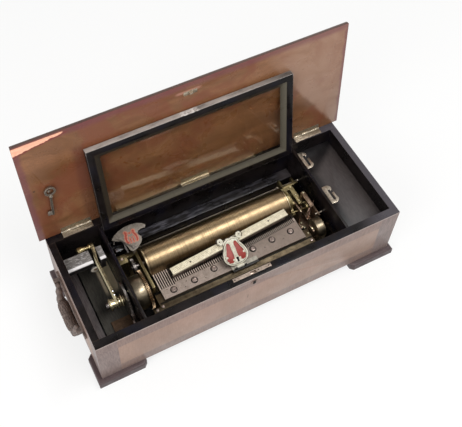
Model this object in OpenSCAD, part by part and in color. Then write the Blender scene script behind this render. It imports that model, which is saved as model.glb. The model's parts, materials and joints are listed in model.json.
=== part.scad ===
// Cylinder music box with an inner glass lid, a winding lever and a zither
// Millimetres, origin on the ground under the middle of the case
// X runs along the case to the right, Y to the back, Z up; drawn with both lids open

/* [Case] */
// Length of the case body
case_l = 560; // [556:1:564]
// Depth of the case body
case_d = 219; // [216:1:222]
// Height of the case rim above the ground
rim_z = 134; // [132:1:140]
// Height of the bracket feet
foot_h = 16; // [10:1:20]
// How far the bracket feet stand out from the body
foot_out = 8; // [4:1:10]
// Thickness of the front and back walls
wall_t = 14; // [12:1:16]
// Thickness of the end walls
end_t = 12; // [8:1:14]
// Thickness of the two partitions
partition_t = 4.5; // [3:0.5:6]

/* [Lids] */
// Lean of the open wooden lid past upright, in degrees
lid_lean = 5.9; // [0:0.1:8]
// Lean of the open glass lid past upright, in degrees
glass_lean = 9.8; // [9:0.1:10]
// Thickness of the wooden lid
lid_t = 9; // [7:0.5:12]
// Overhang of the wooden lid at the ends and the front
lid_over = 10; // [4:1:12]
// Height of the glass frame from its hinge edge
glass_h = 184; // [170:1:184]
// Width of the glass frame rails
rail_w = 22; // [16:1:26]

/* [Music works] */
// Radius of the pinned cylinder
cyl_r = 27.7; // [26:0.1:28]
// Height of both shafts above the ground
shaft_z = 80; // [78:1:82]
// Width of a tooth space on the low side of the comb
slot_low = 1.7; // [1.2:0.1:2]
// Width of a tooth space on the high side of the comb
slot_high = 1.5; // [1:0.1:1.8]
// Outer radius of the spring barrel
drum_r = 30; // [26:0.5:31]

/* [Hidden] */

$fn = 48;
half_l = case_l / 2;
half_d = case_d / 2;
in_x = half_l - end_t;
in_y = half_d - wall_t;
base_t = 10;
base_z = foot_h + base_t;
side_run = 0.05;
part_gap = 0.4;

// Case colours
wood_c = [0.52, 0.33, 0.2];
black_c = [0.1, 0.09, 0.09];
brass_c = [0.72, 0.6, 0.34];
steel_c = [0.6, 0.6, 0.62];
cream_c = [0.86, 0.84, 0.74];

// Partitions
left_x = -191.5;
right_x = 187;
partition_top = rim_z - 3;

// Wooden lid: hinge line and hinge positions along it
lid_y = 108.3;
lid_root = 0.3;
lid_l = case_l + 2 * lid_over;
lid_w = lid_y + half_d + lid_over;
hinge_x = [-224.5, -3.5, 224];
hinge_l = 53;
leaf_t = 1.2;
leaf_w = 11;
knuckle_r = 2.8;
hinge_pin_r = 1.2;

// Glass lid: hinge pins and outline
frame_x0 = -185.5;
frame_x1 = 181;
frame_t = 10;
frame_corner_y = 93.6;
frame_corner_z = 126;
pin_in = 2.5;
pane_t = 2.4;
pane_hold = 5;
bevel_w = 10;
bevel_deep = 5;

// Shafts
cyl_y = 23.6;
barrel_y = -24;
cyl_x0 = -142;
cyl_x1 = 133;
cap_t = 3;
tube_t = 1.4;
shaft_r = 4;
barrel_shaft_r = 5;

// Gears
barrel_teeth = 60;
cyl_teeth = 24;
barrel_module = 2 * (cyl_y - barrel_y) / (barrel_teeth + cyl_teeth);
wheel_x0 = -163;
wheel_x1 = -158;
drive_teeth = 60;
small_teeth = 10;
drive_module = 0.75;
governor_y = cyl_y - drive_module * (drive_teeth + small_teeth) / 2;

// Bed and comb
bed_z0 = 38;
bed_z = 46;
ledge_z = 73;
comb_z0 = 77;
comb_z = 80;
comb_x0 = -138.7;
comb_x1 = 133;
comb_front = -55.5;
comb_tip = -4.6;
low_pitch = 3.9;
high_pitch = 3.3;
low_count = 6;
low_x = comb_x0 + 2.4;
mid_count = 27;
mid_x = low_x + low_count * low_pitch + 3.4;
high_x = mid_x + mid_count * low_pitch;
high_count = floor((comb_x1 - 1.6 - high_x) / high_pitch);

// Zither
bar_x0 = -111.6;
bar_x1 = 118;
bar_y0 = -24.1;
bar_y1 = -6.5;
bar_w = 13.5;
bar_z0 = 100.5;
bar_z1 = 103;
web_h = 14;
web_t = 1.6;
roll_r = 2.6;
roll_y = -0.8;
bar_turn = atan((bar_y1 - bar_y0) / (bar_x1 - bar_x0));
zither_y = -57;
zither_z = 84.5;
lyre_x = 1;
lyre_y = -55.9;
lyre_z = 85;
lyre_tilt = 31;
lyre_t = 2.4;

// Winding lever
lever_y = 70;
lever_z = 121;
lever_slope = atan((lever_z - shaft_z) / (lever_y - barrel_y));
lever_len = sqrt(pow(lever_z - shaft_z, 2) + pow(lever_y - barrel_y, 2));
eye_x0 = -217;
eye_x1 = -211.5;
hub_x0 = -226;
hub_x1 = -200;
grip_end = -241.6;

// Fan
fan_x = 163.5;
fan_y = -15.5;
fan_r = 14;

// Handles
handle_z = 92;
handle_in = 4;
handle_pin = 9;
bail_half = 41.5;
bail_rise = 33;
grip_out = 13;
grip_half = 33.5;
grip_mid = 18;
grip_r = 9;

// Shared helper forms
module block(x0, x1, y0, y1, z0, z1)
    translate([x0, y0, z0]) cube([x1 - x0, y1 - y0, z1 - z0]);

module along_x(x0, x1, y = 0, z = 0)
    translate([x0, y, z]) rotate([90, 0, 90]) linear_extrude(x1 - x0) children();

module x_cyl(x0, x1, y, z, r)
    translate([x0, y, z]) rotate([0, 90, 0]) cylinder(h = x1 - x0, r = r);

module y_cyl(y0, y1, x, z, r)
    translate([x, y1, z]) rotate([90, 0, 0]) cylinder(h = y1 - y0, r = r);

module z_cyl(z0, z1, x, y, r)
    translate([x, y, z0]) cylinder(h = z1 - z0, r = r);

module rod(a, b, r) {
    d = b - a;
    len = norm(d);
    translate(a) rotate([0, acos(d[2] / len), atan2(d[1], d[0])]) cylinder(h = len, r = r);
}

module in_lid() translate([0, lid_y, rim_z]) rotate([-lid_lean, 0, 0]) children();

module in_glass()
    translate([0, frame_corner_y, frame_corner_z]) rotate([-glass_lean, 0, 0]) children();

// Gear outline with straight-sided teeth, one tooth pointing along turn
module gear_2d(teeth, m, turn = 0) {
    rp = teeth * m / 2;
    rt = rp + 0.85 * m;
    rr = rp - 1.15 * m;
    step = 360 / teeth;
    polygon([for (i = [0:teeth - 1]) for (k = [[rr, -0.31], [rp, -0.22], [rt, -0.11],
        [rt, 0.11], [rp, 0.22], [rr, 0.31]])
        k[0] * [cos(turn + (i + k[1]) * step), sin(turn + (i + k[1]) * step)]]);
}

// Case
hinge_cut_r = knuckle_r + 0.4;

module hinge_pocket(deep) {
    for (x = hinge_x) {
        block(x - hinge_l / 2, x + hinge_l / 2, -leaf_w, 0, -deep, 1);
        x_cyl(x - hinge_l / 2 - part_gap, x + hinge_l / 2 + part_gap, 0, 0, hinge_cut_r);
    }
}

keyhole_x = -3;
keyhole_z = 122;
lock_x0 = -37;
lock_x1 = 33;
lock_y = -102;
lock_flange = 1.5;

module case_front() color(wood_c) difference() {
    block(-half_l, half_l, -half_d, -in_y, foot_h, rim_z);
    block(lock_x0, lock_x1, lock_y, -in_y + 1, rim_z - lock_flange, rim_z + 1);
    block(lock_x0 + 8, lock_x1 - 8, lock_y, -in_y + 1, 102, rim_z);
    y_cyl(-half_d - 1, lock_y + 1, keyhole_x, keyhole_z, 2.2);
    block(keyhole_x - 1, keyhole_x + 1, -half_d - 1, lock_y + 1, keyhole_z - 6, keyhole_z);
}

module case_back() color(wood_c) difference() {
    block(-half_l, half_l, in_y, half_d, foot_h, rim_z);
    translate([0, lid_y, rim_z]) hinge_pocket(leaf_t);
}

module case_left_end() color(wood_c) block(-half_l, -in_x, -in_y, in_y, foot_h, rim_z);
module case_right_end() color(wood_c) block(in_x, half_l, -in_y, in_y, foot_h, rim_z);
module case_bottom() color(wood_c) block(-in_x, in_x, -in_y, in_y, foot_h, base_z);

foot_x = half_l + foot_out;
foot_y = half_d + foot_out;
foot_band = 30;

// Bracket foot in the front left corner; run_x and run_y are its arms
module foot(run_x, run_y) color(black_c) linear_extrude(foot_h) polygon([[-foot_x, -foot_y],
    [-foot_x + run_x - 6, -foot_y], [-foot_x + run_x, -foot_y + 6],
    [-foot_x + run_x, -foot_y + foot_band], [-foot_x + foot_band, -foot_y + foot_band],
    [-foot_x + foot_band, -foot_y + run_y], [-foot_x + 6, -foot_y + run_y],
    [-foot_x, -foot_y + run_y - 6]]);

module foot_front_left() foot(87, 57);
module foot_front_right() mirror([1, 0, 0]) foot(87, 57);
module foot_rear_left() mirror([0, 1, 0]) foot(87, 52);
module foot_rear_right() mirror([1, 0, 0]) mirror([0, 1, 0]) foot(87, 52);

pawl_y = -62;
pawl_z = 62;
pawl_r = 2;
change_y = 56;
change_z = 78;
start_y = -25;
start_z = 85;
rod_r = 2;
glass_pin_r = 1.2;
glass_pin_y = frame_corner_y - pin_in * cos(glass_lean) + pin_in * sin(glass_lean);
glass_pin_z = frame_corner_z + pin_in * cos(glass_lean) + pin_in * sin(glass_lean);

module left_partition() color(black_c) difference() {
    block(left_x, left_x + partition_t, -in_y, in_y, base_z, partition_top);
    x_cyl(left_x - 1, left_x + partition_t + 1, barrel_y, shaft_z, barrel_shaft_r + side_run);
    x_cyl(left_x - 1, left_x + partition_t + 1, pawl_y, pawl_z, pawl_r + side_run);
    x_cyl(left_x + 1, left_x + partition_t + 1, glass_pin_y, glass_pin_z, glass_pin_r + side_run);
}

module right_partition() color(black_c) difference() {
    block(right_x - partition_t, right_x, -in_y, in_y, base_z, partition_top);
    x_cyl(right_x - partition_t - 1, right_x + 1, change_y, change_z, rod_r + side_run);
    x_cyl(right_x - partition_t - 1, right_x + 1, start_y, start_z, rod_r + side_run);
    x_cyl(right_x - partition_t - 1, right_x - 1, glass_pin_y, glass_pin_z, glass_pin_r + side_run);
}

module rear_rail() color(black_c)
    block(left_x + partition_t, right_x - partition_t, 76, in_y, base_z, 66);

// Rest for the winding lever: a bar with a saddle and a round pad under the notch
rest_y0 = 38;
rest_y1 = 63.2;
rest_top = 124;
notch_z = 99.6;

module lever_rest() color(black_c) difference() {
    union() {
        block(-in_x, -201, rest_y0, rest_y1, rest_top - 13, rest_top);
        block(-232, -203, rest_y0, rest_y1, 95, rest_top - 13);
        y_cyl(rest_y0 - 2, rest_y0 + 1, -223, 103, 8);
    }
    block(-223.5, -211, rest_y0 - 3, rest_y1 + 1, notch_z, rest_top + 1);
}

floor_top = base_z + 10;

module left_floor() color(black_c) difference() {
    block(-261, left_x, -in_y, in_y, base_z, floor_top);
    block(-247.5, -246, -in_y - 1, in_y + 1, floor_top - 6, floor_top + 1);
}

board_z0 = 97;
board_z1 = 101;
web_x0 = 196;
web_x1 = 200;

module right_board() color(black_c) difference() {
    block(right_x, in_x, -in_y, in_y, board_z0, board_z1);
    block(web_x0 - 0.6, web_x1 + 0.6, change_y - 8, change_y + 20, board_z0 - 1, board_z1 + 1);
    block(web_x0 - 0.6, web_x1 + 0.6, start_y - 12, start_y + 16, board_z0 - 1, board_z1 + 1);
}

// Lock: flange let into the rim with a slot for the hook of the lid
catch_t = lid_y + 99;

module lock_plate() color(brass_c) difference() {
    union() {
        block(lock_x0, lock_x1, lock_y, -in_y, rim_z - lock_flange, rim_z);
        block(lock_x0 + 8, lock_x1 - 8, lock_y, -in_y, 102, rim_z - lock_flange);
    }
    block(-5, 5, lock_y + 0.6, -in_y - 1, rim_z - 6, rim_z + 1);
}

module escutcheon() color(brass_c) difference() {
    y_cyl(-half_d - 0.8, -half_d, keyhole_x, keyhole_z - 1, 6.5);
    y_cyl(-half_d - 2, -half_d + 1, keyhole_x, keyhole_z, 2.2);
    block(keyhole_x - 1, keyhole_x + 1, -half_d - 2, -half_d + 1, keyhole_z - 6, keyhole_z);
}

// Wooden lid, with its outer edges eased in three flats
ease = 4.5;

module eased(a, b) polygon([[a, 0], [b, 0], [b, lid_t - ease], [b - 0.15 * ease, lid_t - 0.5 * ease],
    [b - 0.5 * ease, lid_t - 0.15 * ease], [b - ease, lid_t], [a + ease, lid_t],
    [a + 0.5 * ease, lid_t - 0.15 * ease], [a + 0.15 * ease, lid_t - 0.5 * ease], [a, lid_t - ease]]);

module lid_panel() color(wood_c) in_lid() difference() {
    intersection() {
        translate([0, 0, lid_root]) linear_extrude(lid_w - lid_root) eased(-lid_l / 2, lid_l / 2);
        translate([-lid_l / 2, 0, 0]) rotate([0, 90, 0]) linear_extrude(lid_l)
            polygon([[-lid_root, 0], [-lid_w, 0], [-lid_w, lid_t - ease],
                [-lid_w + 0.15 * ease, lid_t - 0.5 * ease], [-lid_w + 0.5 * ease, lid_t - 0.15 * ease],
                [-lid_w + ease, lid_t], [-lid_root, lid_t]]);
    }
    for (x = hinge_x) {
        block(x - hinge_l / 2, x + hinge_l / 2, -1, leaf_t, -1, leaf_w);
        x_cyl(x - hinge_l / 2 - part_gap, x + hinge_l / 2 + part_gap, 0, 0, hinge_cut_r);
    }
    block(-12, 12, -1, leaf_t, catch_t - 4, catch_t + 4);
    y_cyl(-1, 5, key_x, key_t, nail_r);
}

knuckle_l = hinge_l / 3;

module hinge_leaves() color(brass_c) translate([0, lid_y, rim_z]) for (x = hinge_x) {
    difference() {
        union() {
            block(x - hinge_l / 2, x + hinge_l / 2, -leaf_w, -knuckle_r + 1, -leaf_t, 0);
            for (s = [-1, 1]) block(x + s * knuckle_l - knuckle_l / 2 + (s > 0 ? part_gap : 0),
                x + s * knuckle_l + knuckle_l / 2 - (s < 0 ? part_gap : 0), -knuckle_r, 0, -leaf_t, 0);
        }
        x_cyl(x - knuckle_l / 2 - part_gap, x + knuckle_l / 2 + part_gap, 0, 0, hinge_cut_r);
    }
    for (s = [-1, 1]) x_cyl(x + s * knuckle_l - knuckle_l / 2 + (s > 0 ? part_gap : 0),
        x + s * knuckle_l + knuckle_l / 2 - (s < 0 ? part_gap : 0), 0, 0, knuckle_r);
    x_cyl(x - hinge_l / 2, x + hinge_l / 2, 0, 0, hinge_pin_r);
}

module hinge_flaps() color(brass_c) in_lid() for (x = hinge_x) difference() {
    union() {
        block(x - hinge_l / 2, x + hinge_l / 2, 0, leaf_t, knuckle_r + part_gap, leaf_w);
        block(x - knuckle_l / 2, x + knuckle_l / 2, 0, leaf_t, 0, leaf_w);
        x_cyl(x - knuckle_l / 2, x + knuckle_l / 2, 0, 0, knuckle_r);
    }
    x_cyl(x - hinge_l / 2 - 1, x + hinge_l / 2 + 1, 0, 0, hinge_pin_r + side_run);
}

module lid_catch() color(brass_c) in_lid() {
    block(-12, 12, 0, leaf_t, catch_t - 4, catch_t + 4);
    block(-3, 3, -4, 0, catch_t - 1.5, catch_t + 1.5);
}

// Key hanging on a nail in the lid
key_x = -253.4;
key_t = 118;
nail_r = 1.1;
bow_x = -251.6;
bow_t = 113.6;
key_lean = 4.5;

module key_nail() color(steel_c) in_lid() {
    y_cyl(-6.8, 5, key_x, key_t, nail_r);
    y_cyl(-7.8, -6.8, key_x, key_t, 2.2);
}

module lock_key() color(steel_c) in_lid() translate([bow_x, 0, bow_t]) rotate([0, key_lean, 0]) {
    difference() {
        y_cyl(-5, -2, 0, 0, 9.4);
        y_cyl(-6, -1, 0, 0, 6.2);
    }
    block(-1.9, 1.9, -5.2, -1.8, -56, -8.6);
    block(-2.6, 2.6, -5.5, -1.5, -14, -11);
    block(-8.5, 0, -4.7, -2.3, -55, -46);
}

// Glass lid
glass_w = frame_x1 - frame_x0;
open_x0 = frame_x0 + rail_w;
open_x1 = frame_x1 - rail_w;
open_z0 = rail_w;
open_z1 = glass_h - rail_w;
pane_y = -4;

module opening_2d(a, b) polygon([[a, pane_y + 5], [a, -frame_t + bevel_deep],
    [a - bevel_w, -frame_t - 0.01], [b + bevel_w, -frame_t - 0.01],
    [b, -frame_t + bevel_deep], [b, pane_y + 5]]);

module glass_frame() color(black_c) in_glass() difference() {
    block(frame_x0, frame_x1, -frame_t, 0, 0, glass_h);
    intersection() {
        linear_extrude(glass_h) opening_2d(open_x0, open_x1);
        translate([frame_x0, 0, 0]) rotate([0, 90, 0]) linear_extrude(glass_w)
            opening_2d(-open_z1, -open_z0);
    }
    block(open_x0 - pane_hold, open_x1 + pane_hold, pane_y, 1,
        open_z0 - pane_hold, open_z1 + pane_hold);
    x_cyl(frame_x0 - 1, frame_x0 + 9, -pin_in, pin_in, glass_pin_r);
    x_cyl(frame_x1 - 9, frame_x1 + 1, -pin_in, pin_in, glass_pin_r);
}

module glass_pane() color([0.75, 0.85, 0.85, 0.3]) in_glass()
    block(open_x0 - pane_hold, open_x1 + pane_hold, pane_y, pane_y + pane_t,
        open_z0 - pane_hold, open_z1 + pane_hold);

module glass_pins() color(steel_c) in_glass() {
    x_cyl(left_x + 1.3, frame_x0 + 9, -pin_in, pin_in, glass_pin_r);
    x_cyl(frame_x1 - 9, right_x - 1.3, -pin_in, pin_in, glass_pin_r);
}

// Handles on the ends; drawn for the left end and mirrored for the right
plate_half = 64;
lug_in = bail_half + 4.9;
lug_out = lug_in + 7;
lug_r = 2.5;

module handle_plate() color(black_c) {
    block(-half_l - handle_in, -half_l, -plate_half, plate_half, handle_z - 6, handle_z + 6);
    for (s = [-1, 1]) difference() {
        block(-half_l - handle_pin - 4, -half_l - handle_in, s > 0 ? lug_in : -lug_out,
            s > 0 ? lug_out : -lug_in, handle_z - 5, handle_z + 5);
        y_cyl(s > 0 ? lug_in - 1 : -lug_out + 1, s > 0 ? lug_out - 1 : -lug_in + 1,
            -half_l - handle_pin, handle_z, lug_r + side_run);
    }
}

module handle_bail() color(black_c) {
    top = [-half_l - handle_pin, 0, handle_z];
    low = [-half_l - grip_out, 0, handle_z - bail_rise];
    for (s = [-1, 1]) {
        rod(top + [0, s * bail_half, 0], low + [0, s * grip_half, 0], 4);
        translate(top + [0, s * bail_half, 0]) sphere(r = 4.4);
        translate(low + [0, s * grip_half, 0]) sphere(r = 5.6);
        y_cyl(s > 0 ? bail_half : -lug_out + 1.4, s > 0 ? lug_out - 1.4 : -bail_half,
            top[0], top[2], lug_r);
        translate(low + [0, s * grip_mid, 0]) rotate([-s * 90, 0, 0])
            cylinder(h = grip_half - grip_mid, r1 = grip_r, r2 = 5);
    }
    y_cyl(-grip_mid, grip_mid, low[0], low[2], grip_r);
}

module handle_plate_left() handle_plate();
module handle_plate_right() mirror([1, 0, 0]) handle_plate();
module handle_bail_left() handle_bail();
module handle_bail_right() mirror([1, 0, 0]) handle_bail();

// Bed, comb base and comb
bed_x0 = -186.5;
bed_x1 = 178;
bed_y0 = -92;
bed_y1 = 74;

module bedplate() color(brass_c) difference() {
    union() {
        block(bed_x0, bed_x1, bed_y0, bed_y1, bed_z0, bed_z);
        for (x = [bed_x0, bed_x1 - 14]) for (y = [bed_y0, bed_y1 - 14])
            block(x, x + 14, y, y + 14, base_z, bed_z0);
    }
    block(-184, -152, barrel_y - 39, barrel_y + 39, bed_z0 - 1, bed_z + 1);
}

comb_screw_at = [[-118, -45], [-79, -44.3], [-40, -39.8], [-1, -37.6], [37.7, -35.5],
    [76.4, -34.2], [113.8, -33.8]];
comb_screw_r = 2;

module comb_base() color(brass_c) difference() {
    union() {
        block(-150, 146, -68, -34.4, bed_z, ledge_z);
        block(-163, -150, -68, -61, bed_z, ledge_z);
        block(comb_x0, comb_x1, -54, -34.4, ledge_z, comb_z0);
    }
    for (p = comb_screw_at) z_cyl(comb_z0 - 20, comb_z0 + 1, p[0], p[1], comb_screw_r);
}

root_curve = 0.00022;
function root_y(x) = x < mid_x - 1 ? -35.6 : -32.6 + (x - mid_x) * (x - mid_x) * root_curve;

module comb() color(steel_c) difference() {
    block(comb_x0, comb_x1, comb_front, comb_tip, comb_z0, comb_z);
    for (i = [0:low_count - 1])
        block(low_x + i * low_pitch, low_x + i * low_pitch + slot_low, root_y(low_x), 0,
            comb_z0 - 1, comb_z + 1);
    for (i = [0:mid_count - 1])
        block(mid_x + i * low_pitch, mid_x + i * low_pitch + slot_low,
            root_y(mid_x + i * low_pitch), 0, comb_z0 - 1, comb_z + 1);
    for (i = [0:high_count - 1])
        block(high_x + i * high_pitch, high_x + i * high_pitch + slot_high,
            root_y(high_x + i * high_pitch), 0, comb_z0 - 1, comb_z + 1);
    for (p = comb_screw_at) z_cyl(comb_z0 - 1, comb_z + 1, p[0], p[1], comb_screw_r);
}

module comb_screws() color(steel_c) for (p = comb_screw_at) difference() {
    union() {
        z_cyl(comb_z0 - 20, comb_z, p[0], p[1], comb_screw_r);
        z_cyl(comb_z, comb_z + 2, p[0], p[1], 4.3);
    }
    translate([p[0], p[1], comb_z + 2]) rotate([0, 0, 50]) cube([10, 0.9, 1.6], center = true);
}

// Cylinder and its shaft
module cylinder_tube() color(brass_c) difference() {
    x_cyl(cyl_x0, cyl_x1, cyl_y, shaft_z, cyl_r);
    x_cyl(cyl_x0 - 1, cyl_x1 + 1, cyl_y, shaft_z, cyl_r - tube_t);
}

module cylinder_caps() color(brass_c) for (x = [cyl_x0, cyl_x1 - cap_t]) difference() {
    x_cyl(x, x + cap_t, cyl_y, shaft_z, cyl_r - tube_t);
    x_cyl(x - 1, x + cap_t + 1, cyl_y, shaft_z, shaft_r + side_run);
}

module cylinder_arbor() color(steel_c) {
    x_cyl(-165, 147, cyl_y, shaft_z, shaft_r);
    along_x(wheel_x0, wheel_x1, cyl_y, shaft_z)
        gear_2d(cyl_teeth, barrel_module, 180 / cyl_teeth);
}

drive_x0 = 135.5;
drive_x1 = 139.5;

module cylinder_wheel() color(brass_c) difference() {
    along_x(drive_x0, drive_x1, cyl_y, shaft_z) gear_2d(drive_teeth, drive_module);
    x_cyl(drive_x0 - 1, drive_x1 + 1, cyl_y, shaft_z, shaft_r);
}

// Bridges
bridge_top = 94;

module main_bridge() color(brass_c) difference() {
    union() {
        block(-151, -146, -33.6, 62, bed_z, bridge_top);
        block(-184, -151, 40, 46, bed_z, 90);
        block(-184, -167, 29, 46, bed_z, 95);
    }
    x_cyl(-152, -145, cyl_y, shaft_z, shaft_r + side_run);
    x_cyl(-152, -145, barrel_y, shaft_z, shaft_r + side_run);
    x_cyl(-152, -145, change_y, change_z, rod_r + side_run);
    z_cyl(post_foot, bridge_top + 2, post_x, post_y, 2);
}

module right_bridge() color(brass_c) difference() {
    union() {
        block(141, 145, 5, 62, bed_z, 94);
        block(141, 159.5, 36, 46, 91.5, 94);
        block(151, 159.5, 2, 46, 91.5, 94);
        block(141, 172, 42, 47, 94, 95.6);
        block(141, 172, 42, 62, bed_z, 50);
        block(168, 172, 48, 62, bed_z, 86);
    }
    x_cyl(140, 146, cyl_y, shaft_z, shaft_r + side_run);
    x_cyl(140, 146, change_y, change_z, rod_r + side_run);
    x_cyl(167, 173, change_y, change_z, rod_r + side_run);
}

// Spring barrel
drum_x0 = -183;
drum_x1 = wheel_x0;

module barrel_drum() color(brass_c) difference() {
    x_cyl(drum_x0, drum_x1, barrel_y, shaft_z, drum_r);
    x_cyl(drum_x0 + 1.6, drum_x1 + 1, barrel_y, shaft_z, drum_r - 1.6);
    x_cyl(drum_x0 - 1, drum_x1 + 1, barrel_y, shaft_z, barrel_shaft_r + side_run);
}

module barrel_wheel() color(brass_c) difference() {
    along_x(wheel_x0, wheel_x1, barrel_y, shaft_z) gear_2d(barrel_teeth, barrel_module);
    x_cyl(wheel_x0 - 1, wheel_x1 + 1, barrel_y, shaft_z, barrel_shaft_r + side_run);
}

coil_in = 9;
coil_pitch = 2.1;
coil_turns = 8;
coil_steps = 20;
coil_t = 0.9;

module mainspring() color(steel_c) along_x(drum_x0 + 2.2, drum_x1 - 0.6, barrel_y, shaft_z)
    polygon([for (side = [0, 1]) for (k = [0:coil_turns * coil_steps])
        let (n = side == 0 ? k : coil_turns * coil_steps - k,
            r = coil_in + coil_pitch * n / coil_steps + side * coil_t,
            a = 360 * n / coil_steps) r * [cos(a), sin(a)]]);

module barrel_arbor() color(steel_c) {
    x_cyl(hub_x0 - 3, -152, barrel_y, shaft_z, barrel_shaft_r);
    x_cyl(-152, -146, barrel_y, shaft_z, shaft_r);
    x_cyl(hub_x0 - 5, hub_x0 - 0.5, barrel_y, shaft_z, 7);
}

// Ratchet
ratchet_x0 = -198.5;
ratchet_x1 = -194.5;
ratchet_r = 31;
ratchet_root = 28.4;
ratchet_teeth = 36;
ratchet_phase = 5.1;

module ratchet_wheel() color(steel_c) difference() {
    along_x(ratchet_x0, ratchet_x1, barrel_y, shaft_z) rotate(ratchet_phase)
        polygon([for (i = [0:ratchet_teeth - 1]) for (k = [[ratchet_root, 0], [ratchet_r, 0.1]])
            k[0] * [cos((i + k[1]) * 360 / ratchet_teeth), sin((i + k[1]) * 360 / ratchet_teeth)]]);
    x_cyl(ratchet_x0 - 1, ratchet_x1 + 1, barrel_y, shaft_z, barrel_shaft_r);
}

// Hooked pawl: it holds the wheel against the spring, and the wheel slips under it while winding
module ratchet_pawl() color(steel_c) {
    x_cyl(ratchet_x0, left_x + 3, pawl_y, pawl_z, pawl_r);
    x_cyl(ratchet_x0 - 1.5, ratchet_x1, pawl_y, pawl_z, 4.5);
    along_x(ratchet_x0, ratchet_x1, pawl_y, pawl_z)
        polygon([[-4.4, -1], [4, -2], [6.5, 6.5], [6.9, 11.4], [6.5, 15.5], [8.1, 15.6], [8, 16.7],
            [4.4, 16.9], [0, 12], [-4, 4]]);
}

// Winding lever: a cranked flat bar on a turned hub
module winding_lever() color(brass_c) difference() {
    union() {
        x_cyl(hub_x0, hub_x1, barrel_y, shaft_z, 8.5);
        x_cyl(hub_x0 + 1, hub_x0 + 4, barrel_y, shaft_z, 10.5);
        x_cyl(hub_x1 - 5, hub_x1 - 2, barrel_y, shaft_z, 10.5);
        x_cyl(hub_x1 - 12, hub_x1 - 10, barrel_y, shaft_z, 10);
        intersection() {
            along_x(-230, -200, barrel_y, shaft_z) rotate(lever_slope) union() {
                polygon([[0, -8], [0, 8], [lever_len, 4.6], [lever_len, -4.6]]);
                translate([lever_len, 0]) circle(r = 5.6);
            }
            linear_extrude(200) polygon([[-215, -35], [-209.5, -35], [-214.5, 42], [eye_x1, 60],
                [eye_x1, 80], [eye_x0, 80], [eye_x0, 60], [-220, 42]]);
        }
    }
    x_cyl(hub_x0 - 1, hub_x1 + 1, barrel_y, shaft_z, barrel_shaft_r + side_run);
    x_cyl(eye_x0 - 1, eye_x1 + 1, lever_y, lever_z, 2.4);
}

module winding_grip() color(brass_c) translate([0, lever_y, lever_z]) {
    translate([grip_end, 0, 0]) rotate([0, 90, 0]) rotate_extrude() polygon([[0, 0], [3.4, 0.7],
        [5.6, 3], [6.3, 6], [5.8, 9], [4.6, 12.4], [3.6, 15.6], [3.2, 18.2], [3.8, 20.4],
        [5.6, 22.8], [6, eye_x0 - grip_end], [0, eye_x0 - grip_end]]);
    x_cyl(eye_x0, eye_x1 + 1.4, 0, 0, 2.4);
    x_cyl(eye_x1, eye_x1 + 1.6, 0, 0, 4);
}

// Governor
module governor_frame() color(brass_c) difference() {
    union() {
        block(147, 176, -52, 14, bed_z, bed_z + 4);
        block(147, 149.5, -12, 12, bed_z + 4, 89);
        block(173, 175.5, -32, 12, bed_z + 4, 89);
        block(160, 167, 10, 14, bed_z + 4, 108);
        block(160, 167, fan_y - 4, 14, 105, 108);
        block(160, 167, fan_y - 4, 14, 61, 65);
        block(150, 153, -52, -38, bed_z + 4, 80);
    }
    x_cyl(146, 177, governor_y, shaft_z, 1.5 + side_run);
    x_cyl(172, 177, start_y, start_z, rod_r + side_run);
    x_cyl(149, 154, drum2_y, drum2_z, 3);
    z_cyl(62, 109, fan_x, fan_y, 1.2 + side_run);
}

module governor_wheel() color(brass_c) {
    x_cyl(134.5, 175.5, governor_y, shaft_z, 1.5);
    along_x(drive_x0, drive_x1 + 0.5, governor_y, shaft_z)
        gear_2d(small_teeth, drive_module, 180 / small_teeth);
    along_x(fan_x - 2, fan_x + 2, governor_y, shaft_z) gear_2d(40, 0.5);
}

module fan() color(brass_c) translate([fan_x, fan_y, 0]) {
    z_cyl(62.2, 107.5, 0, 0, 1.2);
    for (z = [71:1.6:88]) translate([0, 0, z]) cylinder(h = 0.8, r = 1.6);
    z_cyl(91, 104, 0, 0, 2.2);
    rotate([0, 0, 35]) block(-fan_r, fan_r, -0.5, 0.5, 92.5, 103);
}

drum2_y = -45;
drum2_z = 74;
drum2_r = 19;

module governor_drum() color(brass_c) {
    x_cyl(150, 156, drum2_y, drum2_z, 3);
    x_cyl(156, 168.5, drum2_y, drum2_z, drum2_r - 1);
    x_cyl(168.5, 170.5, drum2_y, drum2_z, drum2_r);
    x_cyl(170.5, 172, drum2_y, drum2_z, 4);
}

// Zither
module zither_bracket() color(steel_c) difference() {
    union() {
        block(-13, 36, -62, -50, comb_z, comb_z + 2);
        for (x = [-9, 9]) block(x, x + 4, -60, -55.3, comb_z + 2, zither_z + 2.5);
    }
    x_cyl(-10, 14, zither_y, zither_z, 1.2 + side_run);
}

module in_bar() translate([bar_x0, bar_y0, bar_z0]) rotate([0, 0, bar_turn]) children();

bar_l = (bar_x1 - bar_x0) / cos(bar_turn);

module bar_block() in_bar() block(0, bar_l, -bar_w / 2, bar_w / 2, 0, bar_z1 - bar_z0);
module bar_web() in_bar()
    block(2, bar_l - 2, roll_y - web_t / 2, roll_y + web_t / 2, -web_h, 0);

module in_lyre() translate([lyre_x, lyre_y, lyre_z]) rotate([lyre_tilt, 0, 0]) children();

module lyre_2d() difference() {
    union() {
        translate([0, 17]) scale([1, 0.82]) circle(r = 23);
        polygon([[-22, 22], [-13, 46], [13, 46], [22, 22]]);
        translate([-20, 49]) circle(r = 5.4);
        translate([20, 49]) circle(r = 5.4);
        polygon([[-20, 44], [20, 44], [20, 50], [9, 48], [0, 52], [-9, 48], [-20, 50]]);
    }
    translate([0, 13]) circle(r = 2.2);
    translate([-1, 7]) square([2, 6]);
    translate([-30, -10]) square([60, 12.6]);
}

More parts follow.
